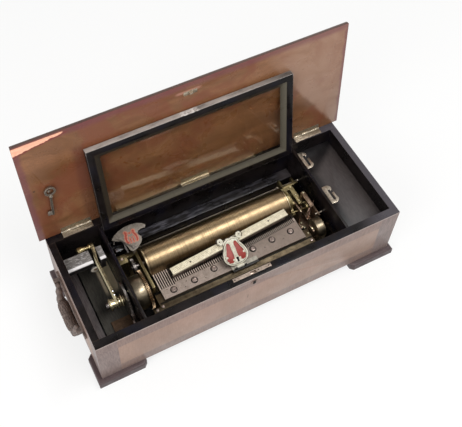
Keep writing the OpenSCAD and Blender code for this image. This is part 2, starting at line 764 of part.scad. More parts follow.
module zither_lyre() color(cream_c) difference() {
    union() {
        in_lyre() linear_extrude(lyre_t) lyre_2d();
        x_cyl(-8.8, 12.8, zither_y, zither_z, 1.2);
        x_cyl(-4.6, 8.6, zither_y, zither_z, 2.4);
        block(-4.6, 8.6, zither_y, lyre_y + 6, zither_z - 1, zither_z + 1.4);
        block(-4.6, 8.6, lyre_y + 1.4, lyre_y + 6, zither_z + 1.4, zither_z + 3.1);
    }
    bar_block();
}

module zither_bar() color(cream_c) {
    bar_block();
    bar_web();
}

module zither_roll() color([0.3, 0.22, 0.2]) difference() {
    in_bar() translate([2, roll_y, -web_h - 0.7]) rotate([0, 90, 0])
        cylinder(h = bar_l - 4, r = roll_r);
    bar_web();
}

// Tune indicator
post_x = -150;
post_y = 43;
post_foot = 80;
tune_z0 = 106.5;
tune_z1 = 108.3;

module tune_plate() color(cream_c) {
        translate([0, 0, tune_z0]) linear_extrude(tune_z1 - tune_z0) polygon([[-178.5, 72],
            [-171, 79], [-161, 84], [-150, 87], [-138, 87.5], [-127, 85.5], [-118, 81],
            [-114, 75.5], [-117, 71.5], [-124, 72.5], [-130, 70.5], [-133, 67], [-132.5, 62.5],
            [-129.5, 57], [-131, 52], [-135, 47], [-140, 43], [-146, 39], [-153.5, 38],
            [-157.5, 42], [-158, 48], [-160, 55], [-162.5, 61], [-166, 64.5], [-171, 67]]);
        z_cyl(post_foot, tune_z0, post_x, post_y, 2);
        z_cyl(bridge_top + 1, tune_z0, post_x, post_y, 3);
        z_cyl(tune_z1, tune_z1 + 2.4, post_x, post_y, 1.6);
    }

module tune_pointer() color(steel_c) difference() {
    union() {
        z_cyl(tune_z1 + 0.3, tune_z1 + 1.3, post_x, post_y, 3.4);
        translate([post_x, post_y, tune_z1 + 0.3]) rotate([0, 0, 126])
            linear_extrude(1) polygon([[0, -1.4], [32, -0.5], [34, 0], [32, 0.5], [0, 1.4]]);
    }
    z_cyl(tune_z1, tune_z1 + 2, post_x, post_y, 1.6 + side_run);
}

// Control levers in the right compartment
hook_z0 = 109.5;
hook_z1 = 111.8;

module hook_2d() difference() {
    union() {
        translate([0, 0]) square([7.4, 38]);
        translate([7.4, 31]) scale([1.15, 1]) circle(r = 7);
        translate([7.6, 7.6]) scale([1.2, 1]) circle(r = 7.6);
        translate([11.4, 8]) square([4.4, 13]);
        translate([13.6, 21]) circle(r = 2.2);
    }
    translate([7, 8]) square([4.6, 21]);
    translate([9.3, 8]) circle(r = 2.3);
    translate([7.4, 21]) square([12, 4.6]);
}

module change_lever() color(steel_c) {
    x_cyl(-151, web_x1, change_y, change_z, rod_r);
    block(web_x0, web_x1, change_y - 4, change_y + 10, change_z - 4, hook_z0);
    translate([195, 50, hook_z0]) linear_extrude(hook_z1 - hook_z0) hook_2d();
}

module start_lever() color(steel_c) {
    x_cyl(169, web_x1, start_y, start_z, rod_r);
    block(web_x0, web_x1, start_y - 5, start_y + 9, start_z - 4, hook_z0);
    translate([196, -33.5, hook_z0]) linear_extrude(hook_z1 - hook_z0) hook_2d();
}

case_front();
case_back();
case_left_end();
case_right_end();
case_bottom();
foot_front_left();
foot_front_right();
foot_rear_left();
foot_rear_right();
left_partition();
right_partition();
rear_rail();
lever_rest();
left_floor();
right_board();
lock_plate();
escutcheon();
lid_panel();
hinge_leaves();
hinge_flaps();
lid_catch();
key_nail();
lock_key();
glass_frame();
glass_pane();
glass_pins();
handle_plate_left();
handle_plate_right();
handle_bail_left();
handle_bail_right();
bedplate();
comb_base();
comb();
comb_screws();
cylinder_tube();
cylinder_caps();
cylinder_arbor();
cylinder_wheel();
main_bridge();
right_bridge();
barrel_drum();
barrel_wheel();
mainspring();
barrel_arbor();
ratchet_wheel();
ratchet_pawl();
winding_lever();
winding_grip();
governor_frame();
governor_wheel();
fan();
governor_drum();
zither_bracket();
zither_lyre();
zither_bar();
zither_roll();
tune_plate();
tune_pointer();
change_lever();
start_lever();
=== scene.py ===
"""Looks of the cylinder music box: finishes, eased edges and the finer fittings over its solids."""
import json
import math
import random
from types import SimpleNamespace

import bmesh
import bpy
from mathutils import Matrix, Vector


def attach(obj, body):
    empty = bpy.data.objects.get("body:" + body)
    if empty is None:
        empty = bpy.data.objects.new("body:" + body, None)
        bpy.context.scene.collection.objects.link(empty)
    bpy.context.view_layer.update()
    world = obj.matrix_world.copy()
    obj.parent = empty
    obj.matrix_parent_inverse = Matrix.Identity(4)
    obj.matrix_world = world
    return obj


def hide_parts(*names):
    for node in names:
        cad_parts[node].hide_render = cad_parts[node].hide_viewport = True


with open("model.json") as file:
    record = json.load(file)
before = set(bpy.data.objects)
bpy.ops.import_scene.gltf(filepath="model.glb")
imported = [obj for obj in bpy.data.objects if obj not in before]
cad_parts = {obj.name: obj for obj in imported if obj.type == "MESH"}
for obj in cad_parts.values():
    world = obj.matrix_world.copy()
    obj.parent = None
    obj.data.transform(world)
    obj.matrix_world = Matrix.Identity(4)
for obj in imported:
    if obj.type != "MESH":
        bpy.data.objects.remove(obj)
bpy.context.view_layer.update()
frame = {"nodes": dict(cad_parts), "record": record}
NODES = frame["nodes"]
BODY_OF = {node: body for body, names in frame["record"]["behaviour"]["bodies"].items() for node in names}
MM = 0.001
UP = (0, 0, 1)
WELD, CAD_WELD = 0.001 * MM, 0.002 * MM
SHARP, FLAT = math.radians(30), math.radians(0.4)

# Shared sizes, the same as the solids use
RIM_Z = 134
HALF_L = 280
HALF_D = 109.5
FOOT_Z = 16
LID_LEAN = math.radians(5.9)
GLASS_LEAN = math.radians(9.8)
SHAFT_Z = 80
CYLINDER_Y = 23.6
CYLINDER_R = 27.7
BARREL_Y = -24
LYRE_TILT = 31


def mm(x, y, z):
    """A place given in millimetres, as a vector in metres."""
    return Vector((x, y, z)) * MM


# Camera at the photo's viewing angle
CAMERA_AZ, CAMERA_EL, CAMERA_ROLL = -27.382, 54.457, 0.8226
CAMERA_AT = mm(-362.7, -610.9, 1293.7)
LENS_MM, SENSOR_MM = 62.76, 36
SHIFT_X, SHIFT_Y = 0.0642, -0.1003


def place_camera():
    az, el, roll = (math.radians(a) for a in (CAMERA_AZ, CAMERA_EL, CAMERA_ROLL))
    back = Vector((math.sin(az) * math.cos(el), -math.cos(az) * math.cos(el), math.sin(el)))
    side = (-back).cross(Vector(UP)).normalized()
    over = side.cross(-back)
    right = math.cos(roll) * side + math.sin(roll) * over
    up = -math.sin(roll) * side + math.cos(roll) * over
    bpy.ops.object.camera_add(location=CAMERA_AT)
    camera = bpy.context.active_object
    camera.rotation_euler = Matrix((right, up, back)).transposed().to_euler()
    camera.data.sensor_width = SENSOR_MM
    camera.data.lens = LENS_MM
    camera.data.shift_x = SHIFT_X
    camera.data.shift_y = SHIFT_Y
    camera.data.clip_start = 0.05
    camera.data.clip_end = 50
    bpy.context.scene.camera = camera


bpy.ops.object.select_all(action="DESELECT")
place_camera()
bpy.context.scene.view_settings.view_transform = "Standard"


# Selecting and editing
def only(piece):
    bpy.ops.object.select_all(action="DESELECT")
    piece.select_set(True)
    bpy.context.view_layer.objects.active = piece


def open_edit(piece, action="DESELECT"):
    only(piece)
    bpy.ops.object.mode_set(mode="EDIT")
    bpy.ops.mesh.select_mode(type="FACE")
    bpy.ops.mesh.select_all(action=action)


def close_edit():
    bpy.ops.object.mode_set(mode="OBJECT")


def pick(piece, kind, wanted):
    """Selects the faces or the edges for which wanted() is true, in edit mode."""
    bpy.ops.mesh.select_mode(type={"faces": "FACE", "edges": "EDGE"}[kind])
    sheet = bmesh.from_edit_mesh(piece.data)
    sheet.normal_update()
    for part in getattr(sheet, kind):
        part.select_set(False)
    for part in getattr(sheet, kind):
        if wanted(part):
            part.select_set(True)
    bmesh.update_edit_mesh(piece.data)


def settle(piece):
    """Puts the piece's place into its mesh, so that its object sits at the origin."""
    only(piece)
    bpy.ops.object.transform_apply(location=True, rotation=True, scale=True)


def face_out(piece):
    open_edit(piece, "SELECT")
    bpy.ops.mesh.remove_doubles(threshold=WELD)
    bpy.ops.mesh.normals_make_consistent(inside=False)
    close_edit()


def smooth(piece, angle=32):
    only(piece)
    bpy.ops.object.shade_smooth_by_angle(angle=math.radians(angle))


def named(name):
    piece = bpy.context.active_object
    piece.name = name
    piece.data.name = name
    return piece


def join(pieces, name):
    bpy.ops.object.select_all(action="DESELECT")
    for piece in pieces:
        piece.select_set(True)
    bpy.context.view_layer.objects.active = pieces[0]
    if len(pieces) > 1:
        bpy.ops.object.join()
    return named(name)


def copied(piece, matrix, name):
    """A copy with its own mesh, moved by the matrix."""
    twin = piece.copy()
    twin.data = piece.data.copy()
    twin.name = name
    bpy.context.scene.collection.objects.link(twin)
    twin.data.transform(matrix)
    if matrix.determinant() < 0:
        twin.data.flip_normals()
    return twin


def coat(piece, finish):
    piece.data.materials.clear()
    piece.data.materials.append(finish)


def fitted(piece, node, finish, *stands_for):
    """Gives a piece its finish and the body of a CAD node, and lets it stand for CAD nodes."""
    coat(piece, finish)
    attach(piece, BODY_OF[node])
    if stands_for:
        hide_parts(*stands_for)
    return piece


# Making forms
def turned(name, start, along, profile, sides=32):
    """A turned form: a disc drawn out along its axis through (distance, radius) pairs, in mm."""
    axis = Vector(along).normalized()
    spot = mm(*start) + axis * profile[0][0] * MM
    bpy.ops.object.select_all(action="DESELECT")
    bpy.ops.mesh.primitive_circle_add(vertices=sides, radius=profile[0][1] * MM, fill_type="NGON",
                                      location=spot, rotation=axis.to_track_quat("Z", "Y").to_euler())
    piece = named(name)
    bpy.ops.object.mode_set(mode="EDIT")
    bpy.ops.mesh.select_mode(type="FACE")
    bpy.ops.mesh.select_all(action="SELECT")
    for (far, radius), (next_far, next_radius) in zip(profile, profile[1:]):
        step = axis * (next_far - far) * MM
        bpy.ops.mesh.extrude_region_move(TRANSFORM_OT_translate={"value": step})
        spot = spot + step
        bpy.ops.transform.resize(value=(next_radius / radius,) * 3, center_override=spot)
    bpy.ops.mesh.select_all(action="SELECT")
    bpy.ops.mesh.normals_make_consistent(inside=False)
    close_edit()
    settle(piece)
    smooth(piece)
    return piece


def block(name, low, high):
    """A plain cube between two corners in mm."""
    low, high = mm(*low), mm(*high)
    bpy.ops.object.select_all(action="DESELECT")
    bpy.ops.mesh.primitive_cube_add(size=1, location=(low + high) / 2, scale=high - low)
    piece = named(name)
    settle(piece)
    return piece


def squared(name, low, high, ease=0.3):
    """A squared block between two corners in mm, with its edges broken."""
    piece = block(name, low, high)
    open_edit(piece, "SELECT")
    bpy.ops.mesh.bevel(offset=ease * MM, segments=2, affect="EDGES")
    close_edit()
    smooth(piece)
    return piece


def drawn(curve, points, closed, kind="AUTO"):
    """Adds a spline through the points; each is (x, y, z) or (x, y, z, thickness share)."""
    spline = curve.splines.new("BEZIER")
    spline.bezier_points.add(len(points) - 1)
    for point, spot in zip(spline.bezier_points, points):
        point.co = mm(*spot[:3])
        point.handle_left_type = kind
        point.handle_right_type = kind
        point.radius = spot[3] if len(spot) > 3 else 1
    spline.use_cyclic_u = closed


def meshed(name, curve, place, angle, lift=0):
    """Turns a curve into a closed mesh, lifted by so many mm and then set in place by a matrix."""
    piece = bpy.data.objects.new(name, curve)
    bpy.context.scene.collection.objects.link(piece)
    only(piece)
    bpy.ops.object.convert(target="MESH")
    piece = named(name)
    piece.data.transform(Matrix.Translation(mm(0, 0, lift)))
    piece.matrix_world = place
    settle(piece)
    face_out(piece)
    smooth(piece, angle)
    return piece


def plate(name, loops, thick, place, ease=0.25, round_points=True):
    """A flat plate cut to the loops (outline first, then holes), in mm, set in place by a matrix."""
    curve = bpy.data.curves.new(name, "CURVE")
    curve.dimensions = "2D"
    curve.fill_mode = "BOTH"
    curve.resolution_u = 5
    for loop in loops:
        drawn(curve, [(x, y, 0) for x, y in loop], True, "AUTO" if round_points else "VECTOR")
    curve.extrude = (thick / 2 - ease) * MM
    curve.bevel_depth = ease * MM
    curve.bevel_resolution = 1
    curve.offset = -ease * MM
    return meshed(name, curve, place, 40, thick / 2)


def wire(name, points, radius, closed=False, sides=3, place=Matrix.Identity(4)):
    """A round wire through the points."""
    curve = bpy.data.curves.new(name, "CURVE")
    curve.dimensions = "3D"
    curve.resolution_u = 6
    drawn(curve, points, closed)
    curve.bevel_depth = radius * MM
    curve.bevel_resolution = sides
    curve.use_fill_caps = True
    return meshed(name, curve, place, 50)


def eased(node, width, finish, steps=2, wanted=None):
    """A copy of a CAD node with its sharp edges broken; it stands for the node."""
    source = NODES[node]
    piece = source.copy()
    piece.data = source.data.copy()
    piece.parent = None
    piece.name = node + "_eased"
    piece.data.name = node + "_eased"
    for key in [k for k in piece.keys() if k.startswith("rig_")]:
        del piece[key]
    bpy.context.scene.collection.objects.link(piece)
    open_edit(piece, "SELECT")
    bpy.ops.mesh.remove_doubles(threshold=CAD_WELD)
    bpy.ops.mesh.dissolve_limited(angle_limit=FLAT)
    bpy.ops.mesh.customdata_custom_splitnormals_clear()

    def keen(edge):
        if len(edge.link_faces) != 2 or edge.calc_face_angle(0) < SHARP:
            return False
        return wanted is None or wanted((edge.verts[0].co + edge.verts[1].co) / (2 * MM))

    pick(piece, "edges", keen)
    bpy.ops.mesh.bevel(offset=width * MM, segments=steps, affect="EDGES", clamp_overlap=True,
                       loop_slide=False)
    close_edit()
    smooth(piece)
    return fitted(piece, node, finish, node)


# Laying out finishes
class Value:
    """A socket that can be reckoned with; each operation lays one node."""

    def __init__(self, bench, socket):
        self.bench = bench
        self.socket = socket

    def __add__(self, other):
        return self.bench.math("ADD", self, other)

    def __sub__(self, other):
        return self.bench.math("SUBTRACT", self, other)

    def __rsub__(self, other):
        return self.bench.math("SUBTRACT", other, self)

    def __mul__(self, other):
        return self.bench.math("MULTIPLY", self, other)

    def __truediv__(self, other):
        return self.bench.math("DIVIDE", self, other)

    def __abs__(self):
        return self.bench.math("ABSOLUTE", self)

    def fract(self):
        return self.bench.math("FRACT", self)

    def most(self, other):
        return self.bench.math("MAXIMUM", self, other)

    def least(self, other):
        return self.bench.math("MINIMUM", self, other)

    def span(self, low, high, to_low=0, to_high=1):
        """Goes smoothly from to_low at low to to_high at high."""
        made = self.bench.node("ShaderNodeMapRange", {
            "Value": self, "From Min": low, "From Max": high, "To Min": to_low, "To Max": to_high,
        }, interpolation_type="SMOOTHSTEP")
        return Value(self.bench, made.outputs["Result"])

    def fall(self, low, high):
        return self.span(low, high, 1, 0)

    def mid(self, to_low=0, to_high=1):
        """Goes from to_low to to_high over the middle of a noise's range."""
        return self.span(0.3, 0.7, to_low, to_high)

    def within(self, low, high, soft):
        """One between low and high, zero outside, with soft edges."""
        return self.span(low - soft, low + soft) * self.fall(high - soft, high + soft)


class Bench:
    """Lays nodes in one tree and wires them together."""

    def __init__(self, tree, finish=None):
        self.tree = tree
        self.finish = finish
        self.own_place = None

    def node(self, kind, inputs=None, **settings):
        made = self.tree.nodes.new(kind)
        for key, value in settings.items():
            setattr(made, key, value)
        for name, value in (inputs or {}).items():
            self.feed(made.inputs[name], value)
        return made

    def feed(self, socket, value):
        if isinstance(value, Value):
            value = value.socket
        if isinstance(value, bpy.types.NodeSocket):
            self.tree.links.new(value, socket)
        elif socket.type == "RGBA":
            socket.default_value = (*value, 1) if len(value) == 3 else value
        else:
            socket.default_value = value

    def outputs(self, node):
        """The node's outputs as attributes named in small letters."""
        return SimpleNamespace(**{socket.name.lower().replace(" ", "_"): Value(self, socket)
                                  for socket in node.outputs if socket.name})

    def math(self, operation, first, second=0):
        return Value(self, self.node("ShaderNodeMath", {0: first, 1: second}, operation=operation).outputs[0])

    def vector(self, operation, first, second):
        last = "Scale" if operation == "SCALE" else 1
        made = self.node("ShaderNodeVectorMath", {0: first, last: second}, operation=operation)
        return Value(self, made.outputs["Value" if operation == "DOT_PRODUCT" else "Vector"])

    def coats(self, colour, *layers):
        """A first colour with further ones laid over it, each given as (share, colour)."""
        for share, layer in layers:
            made = self.node("ShaderNodeMix", {0: share, 6: colour, 7: layer}, data_type="RGBA")
            colour = Value(self, made.outputs[2])
        return colour

    @property
    def place(self):
        """The piece's own coordinates, in millimetres."""
        if self.own_place is None:
            self.own_place = self.vector("SCALE", self.node("ShaderNodeTexCoord").outputs["Object"], 1 / MM)
        return self.own_place

    def apart(self, vector):
        return [Value(self, out) for out in self.node("ShaderNodeSeparateXYZ", {"Vector": vector}).outputs]

    def axes(self):
        return self.apart(self.place)

    def stretched(self, run, turn=(0, 0, 0), vector=None):
        given = {"Vector": vector or self.place, "Scale": run, "Rotation": turn}
        return Value(self, self.node("ShaderNodeMapping", given).outputs[0])

    def noise(self, scale, detail=3, rough=0.5, warp=0, vector=None):
        given = {"Vector": vector or self.place, "Scale": scale, "Detail": detail, "Roughness": rough,
                 "Distortion": warp}
        return Value(self, self.node("ShaderNodeTexNoise", given).outputs[0])

    def bump(self, height, strength, depth=0.0002):
        made = self.node("ShaderNodeBump", {"Height": height, "Strength": strength, "Distance": depth})
        return Value(self, made.outputs[0])

    def group(self, kit, **inputs):
        made = self.node("ShaderNodeGroup", node_tree=kit)
        for name, value in inputs.items():
            self.feed(made.inputs[name], value)
        return self.outputs(made)

    def wood(self, run, wave):
        return self.group(WOOD_FIGURE, Run=run, Wave=wave)

    def hands(self, size=1):
        return self.group(HANDLED, Size=size)

    def age(self, run, size):
        return self.group(METAL_AGE, Run=run, Size=size)

    def rub(self, low, high):
        return self.group(RUBBED_EDGE, Low=low, High=high).edge

    def finished(self, colour, rough, height, relief, metallic=None, specular=None):
        """Wires colour, roughness and relief into the shader and hands back the finish."""
        shader = self.finish.node_tree.nodes["Principled BSDF"].inputs
        normal = self.bump(height, relief)
        for name, value in (("Base Color", colour), ("Roughness", rough), ("Normal", normal),
                            ("Metallic", metallic), ("Specular IOR Level", specular)):
            if value is not None:
                self.feed(shader[name], value)
        return self.finish


def new_kit(name, inputs, build):
    """A node group with named inputs, whose outputs are what build(bench, given) hands back."""
    tree = bpy.data.node_groups.new(name, "ShaderNodeTree")
    for label, start in inputs.items():
        kind = "NodeSocketVector" if isinstance(start, tuple) else "NodeSocketFloat"
        tree.interface.new_socket(name=label, in_out="INPUT", socket_type=kind).default_value = start
    bench = Bench(tree)
    made = build(bench, bench.outputs(bench.node("NodeGroupInput")))
    for label in made:
        tree.interface.new_socket(name=label, in_out="OUTPUT", socket_type="NodeSocketFloat")
    ends = bench.node("NodeGroupOutput").inputs
    for label, value in made.items():
        bench.feed(ends[label], value)
    return tree


def wood_figure(bench, given):
    """Broad cloud, long fibre and thin pores of sawn wood; Run squeezes it along the grain."""
    swirl = bench.noise(0.012, 2)
    swirls = bench.node("ShaderNodeCombineXYZ", {"X": swirl, "Y": swirl, "Z": swirl}).outputs[0]
    drift = bench.vector("SCALE", swirls, given.wave * 40)
    grained = bench.vector("MULTIPLY", bench.vector("ADD", bench.place, drift), given.run)
    return {"Cloud": bench.noise(0.035, 4, 0.6, 0.6, grained),
            "Fibre": bench.noise(0.55, 6, 0.65, 0.2, grained),
            "Pore": bench.noise(2.2, 2, 0.5, 0, grained).span(0.56, 0.68)}


def handled(bench, given):
    """Smudges, fine scratches and dust of old handled surfaces."""
    place = bench.vector("SCALE", bench.place, given.size)
    runs = (((0.04, 1.4, 1.1), (0.2, 0.5, 0.7)), ((1.3, 0.05, 1.2), (0.6, 0.1, 0.35)))
    first, second = (bench.noise(0.8, 2, 0.6, 0, bench.stretched(run, turn, place)).span(0.7, 0.78)
                     for run, turn in runs)
    return {"Smudge": bench.noise(0.03, 5, 0.6, 0.4, place), "Scratch": first.most(second),
            "Dust": bench.noise(0.9, 3, 0.7, 0, place).span(0.58, 0.72)}


def rubbed_edge(bench, given):
    """Finds edges and corners, where paint and lacquer wear through."""
    rounded = bench.node("ShaderNodeBevel", {"Radius": 0.0013}, samples=6).outputs[0]
    flat = bench.node("ShaderNodeNewGeometry").outputs["Normal"]
    bend = 1 - bench.vector("DOT_PRODUCT", rounded, flat)
    worn = bend * bench.noise(0.35, 4, 0.7).mid(0.3, 1.6)
    made = bench.node("ShaderNodeMapRange", {"Value": worn, "From Min": given.low, "From Max": given.high})
    return {"Edge": made.outputs["Result"]}


def metal_age(bench, given):
    """Brush lines, tarnish patches and bright or dark specks of worked metal."""
    run = bench.vector("MULTIPLY", bench.place, given.run)
    sized = bench.vector("SCALE", bench.place, given.size)
    return {"Brush": bench.noise(1.6, 3, 0.6, 0, run), "Tarnish": bench.noise(0.11, 6, 0.68, 0.5, sized),
            "Speck": bench.noise(0.8, 2, 0.6, 0, sized).span(0.6, 0.7)}


WOOD_FIGURE = new_kit("wood figure", {"Run": (1, 1, 1), "Wave": 1}, wood_figure)
HANDLED = new_kit("handled surface", {"Size": 1}, handled)
RUBBED_EDGE = new_kit("rubbed edge", {"Low": 0.02, "High": 0.12}, rubbed_edge)
METAL_AGE = new_kit("metal age", {"Run": (1, 1, 1), "Size": 1}, metal_age)


def new_finish(name):
    finish = bpy.data.materials.new(name)
    finish.use_nodes = True
    return Bench(finish.node_tree, finish)


def toned(colour, share):
    return [min(1, c * share) for c in colour]


def rotated(first, second, turn):
    """Distances along and across a line that is turned from the first axis toward the second."""
    return first * math.cos(turn) + second * math.sin(turn), second * math.cos(turn) - first * math.sin(turn)


def aged_metal(name, bright, dull, rough, run=(1, 1, 1), size=1, dull_share=0.75, edge=0.5):
    """A worked metal: brushed, tarnished in patches and rubbed bright along its edges."""
    bench = new_finish(name)
    age = bench.age(run, size)
    dulled = age.tarnish.span(0.35, 0.66, 0, dull_share)
    colour = bench.coats(
        bright, (dulled, dull), (age.brush.mid(0, 0.22), toned(bright, 0.6)),
        (age.speck * 0.35, toned(dull, 0.35)), (bench.rub(0.01, 0.1) * edge, toned(bright, 1.25)),
    )
    roughness = dulled.span(0, 0.8, rough, rough + 0.22) + bench.hands(1.6).scratch * 0.15
    return bench.finished(colour, roughness, age.brush + age.speck * -0.6, 0.03, 1)


def painted(name, low, high, rough, run=(1, 1, 1), relief=0.1, chips=None, speck=0.25, dark_before=None,
            specular=None):
    """A painted, papered or lacquered face with clouding, wear and dust, and painted shade in front of a
    given y.
    """
    bench = new_finish(name)
    age = bench.age(run, 1.4)
    layers = [
        (age.tarnish.span(0.32, 0.68), high), (age.brush.span(0.45, 0.7, 0, 0.2), toned(low, 0.55)),
        (age.speck * speck, toned(low, 0.4)),
    ]
    if chips:
        layers.append((bench.rub(0.03, 0.2) * 0.6, chips))
    # black painted in front of the given y: painted shade
    if dark_before is not None:
        layers.append((bench.axes()[1].span(dark_before + 0.3, dark_before - 0.3), (0.012, 0.009, 0.007)))
    roughness = bench.hands(2).smudge.mid(rough - 0.08, rough + 0.12)
    return bench.finished(bench.coats(low, *layers), roughness, age.brush, relief, specular=specular)


def black_paint(bench):
    """Colour, roughness and height of old ebonised wood."""
    hands = bench.hands()
    colour = bench.coats(
        (0.004, 0.003, 0.003), (hands.smudge.span(0.4, 0.65), (0.01, 0.007, 0.007)),
        (bench.noise(0.02, 2).span(0.5, 0.66, 0, 0.5), (0.006, 0.006, 0.013)),
        (hands.dust * 0.25, (0.07, 0.06, 0.055)), (hands.scratch * 0.35, (0.06, 0.05, 0.05)),
        (bench.rub(0.03, 0.2) * 0.55, (0.11, 0.07, 0.05)),
    )
    rough = hands.smudge.mid(0.22, 0.42) + hands.dust * 0.15
    height = bench.wood((0.12, 1, 1), 0.3).fibre * 0.6 + hands.scratch * -0.5
    return colour, rough, height


def black_wood_finish():
    bench = new_finish("ebonised wood")
    return bench.finished(*black_paint(bench), 0.12, specular=0.18)


def plinth_finish():
    """Brown-black feet, paler where dust and rubbing lie on the top moulding."""
    bench = new_finish("bracket foot wood")
    fibre = bench.wood((0.1, 0.1, 1), 0.4).fibre
    hands = bench.hands(1.4)
    colour = bench.coats(
        (0.026, 0.016, 0.018), (fibre.mid(), (0.075, 0.045, 0.045)),
        (bench.axes()[2].span(11.5, 15.5, 0, 0.6), (0.08, 0.052, 0.053)),
        (bench.rub(0.02, 0.2) * 0.5, (0.16, 0.1, 0.08)), (hands.dust * 0.3, (0.2, 0.16, 0.15)),
    )
    return bench.finished(colour, hands.smudge.mid(0.35, 0.6), fibre, 0.2)


# Border, inlay and panel of the veneered sides
PANEL_HALF_X, PANEL_HALF_Y, PANEL_HALF_Z = 244.5, 80, 33
PANEL_MID_Z = 73
INLAY_W = 1.5
VENEER_DEPTH = 0.6


def veneer_finish():
    """Faded rosewood panel inside a greyer crossbanded border, with a black painted rim and inside; painted
    light gives a sheen on the rim toward its right end, a highlight line under the rim and shading along the
    foot.
    """
    bench = new_finish("veneered case")
    x, y, z = bench.axes()
    wide, deep = abs(x), abs(y)
    on_end = wide.span(HALF_L - VENEER_DEPTH - 0.2, HALF_L - VENEER_DEPTH)
    on_side = deep.span(HALF_D - VENEER_DEPTH - 0.2, HALF_D - VENEER_DEPTH)
    outside = on_end.most(on_side) * z.fall(RIM_Z - 0.7, RIM_Z - 0.3)
    edge_off = (on_side * (wide - PANEL_HALF_X)).most(on_end * (deep - PANEL_HALF_Y))
    off = edge_off.most(abs(z - PANEL_MID_Z) - PANEL_HALF_Z)
    panel = off.fall(-0.3, 0.3).most(edge_off.span(-0.5, 0.5, 0.55, 0))
    inlay = off.within(-INLAY_W, 0, 0.25)
    figure = bench.wood((0.55, 0.55, 0.16), 1.2)
    band = bench.wood((0.8, 0.8, 0.1), 0.5)
    hands = bench.hands(0.8)
    warm = bench.coats(
        (0.275, 0.168, 0.125), (figure.cloud.span(0.3, 0.68), (0.4, 0.252, 0.186)),
        (figure.fibre.span(0.35, 0.7, 0, 0.5), (0.21, 0.125, 0.09)),
        (bench.noise(0.016, 2).span(0.52, 0.66, 0, 0.45), (0.44, 0.26, 0.205)),
        (figure.pore * 0.35, (0.16, 0.1, 0.08)),
    )
    nick = x.within(-12.8, -11.6, 0.3) * z.within(72, 83, 1.5) * y.span(0, -10, 0, 0.8)
    veneer = bench.coats(
        (0.165, 0.122, 0.112), (band.fibre.mid(), (0.265, 0.2, 0.182)),
        (band.pore * 0.35, (0.13, 0.1, 0.09)), (panel, warm), (inlay * 0.6, (0.46, 0.3, 0.215)),
        # a grey band painted along the foot of the sides: painted shading
        (z.span(FOOT_Z + 3, FOOT_Z, 0, 0.45), (0.16, 0.14, 0.14)),
        # a pale band painted just under the rim: painted highlight of the top edge
        (z.span(RIM_Z - 3.4, RIM_Z - 2.2, 0, 0.65), (0.5, 0.42, 0.38)),
        (hands.scratch * 0.3, (0.12, 0.08, 0.07)), (nick, (0.05, 0.035, 0.03)),
    )
    paint, paint_rough, paint_height = black_paint(bench)
    # the black rim is painted paler toward its right end: a painted sheen
    painted_rim_sheen = x.span(190, 262) * z.span(RIM_Z - 0.9, RIM_Z - 0.4)
    colour = bench.coats(paint, (painted_rim_sheen * 0.7, (0.095, 0.086, 0.098)), (outside, veneer))
    gloss = hands.smudge.mid(0.3, 0.46)
    rough = bench.node("ShaderNodeMix", {0: outside, 2: paint_rough, 3: gloss}, data_type="FLOAT").outputs[0]
    height = figure.fibre * 0.5 + inlay * -0.4 + paint_height * 0.4
    return bench.finished(colour, rough, height, 0.12, specular=0.22)


LID_Y = 108.3


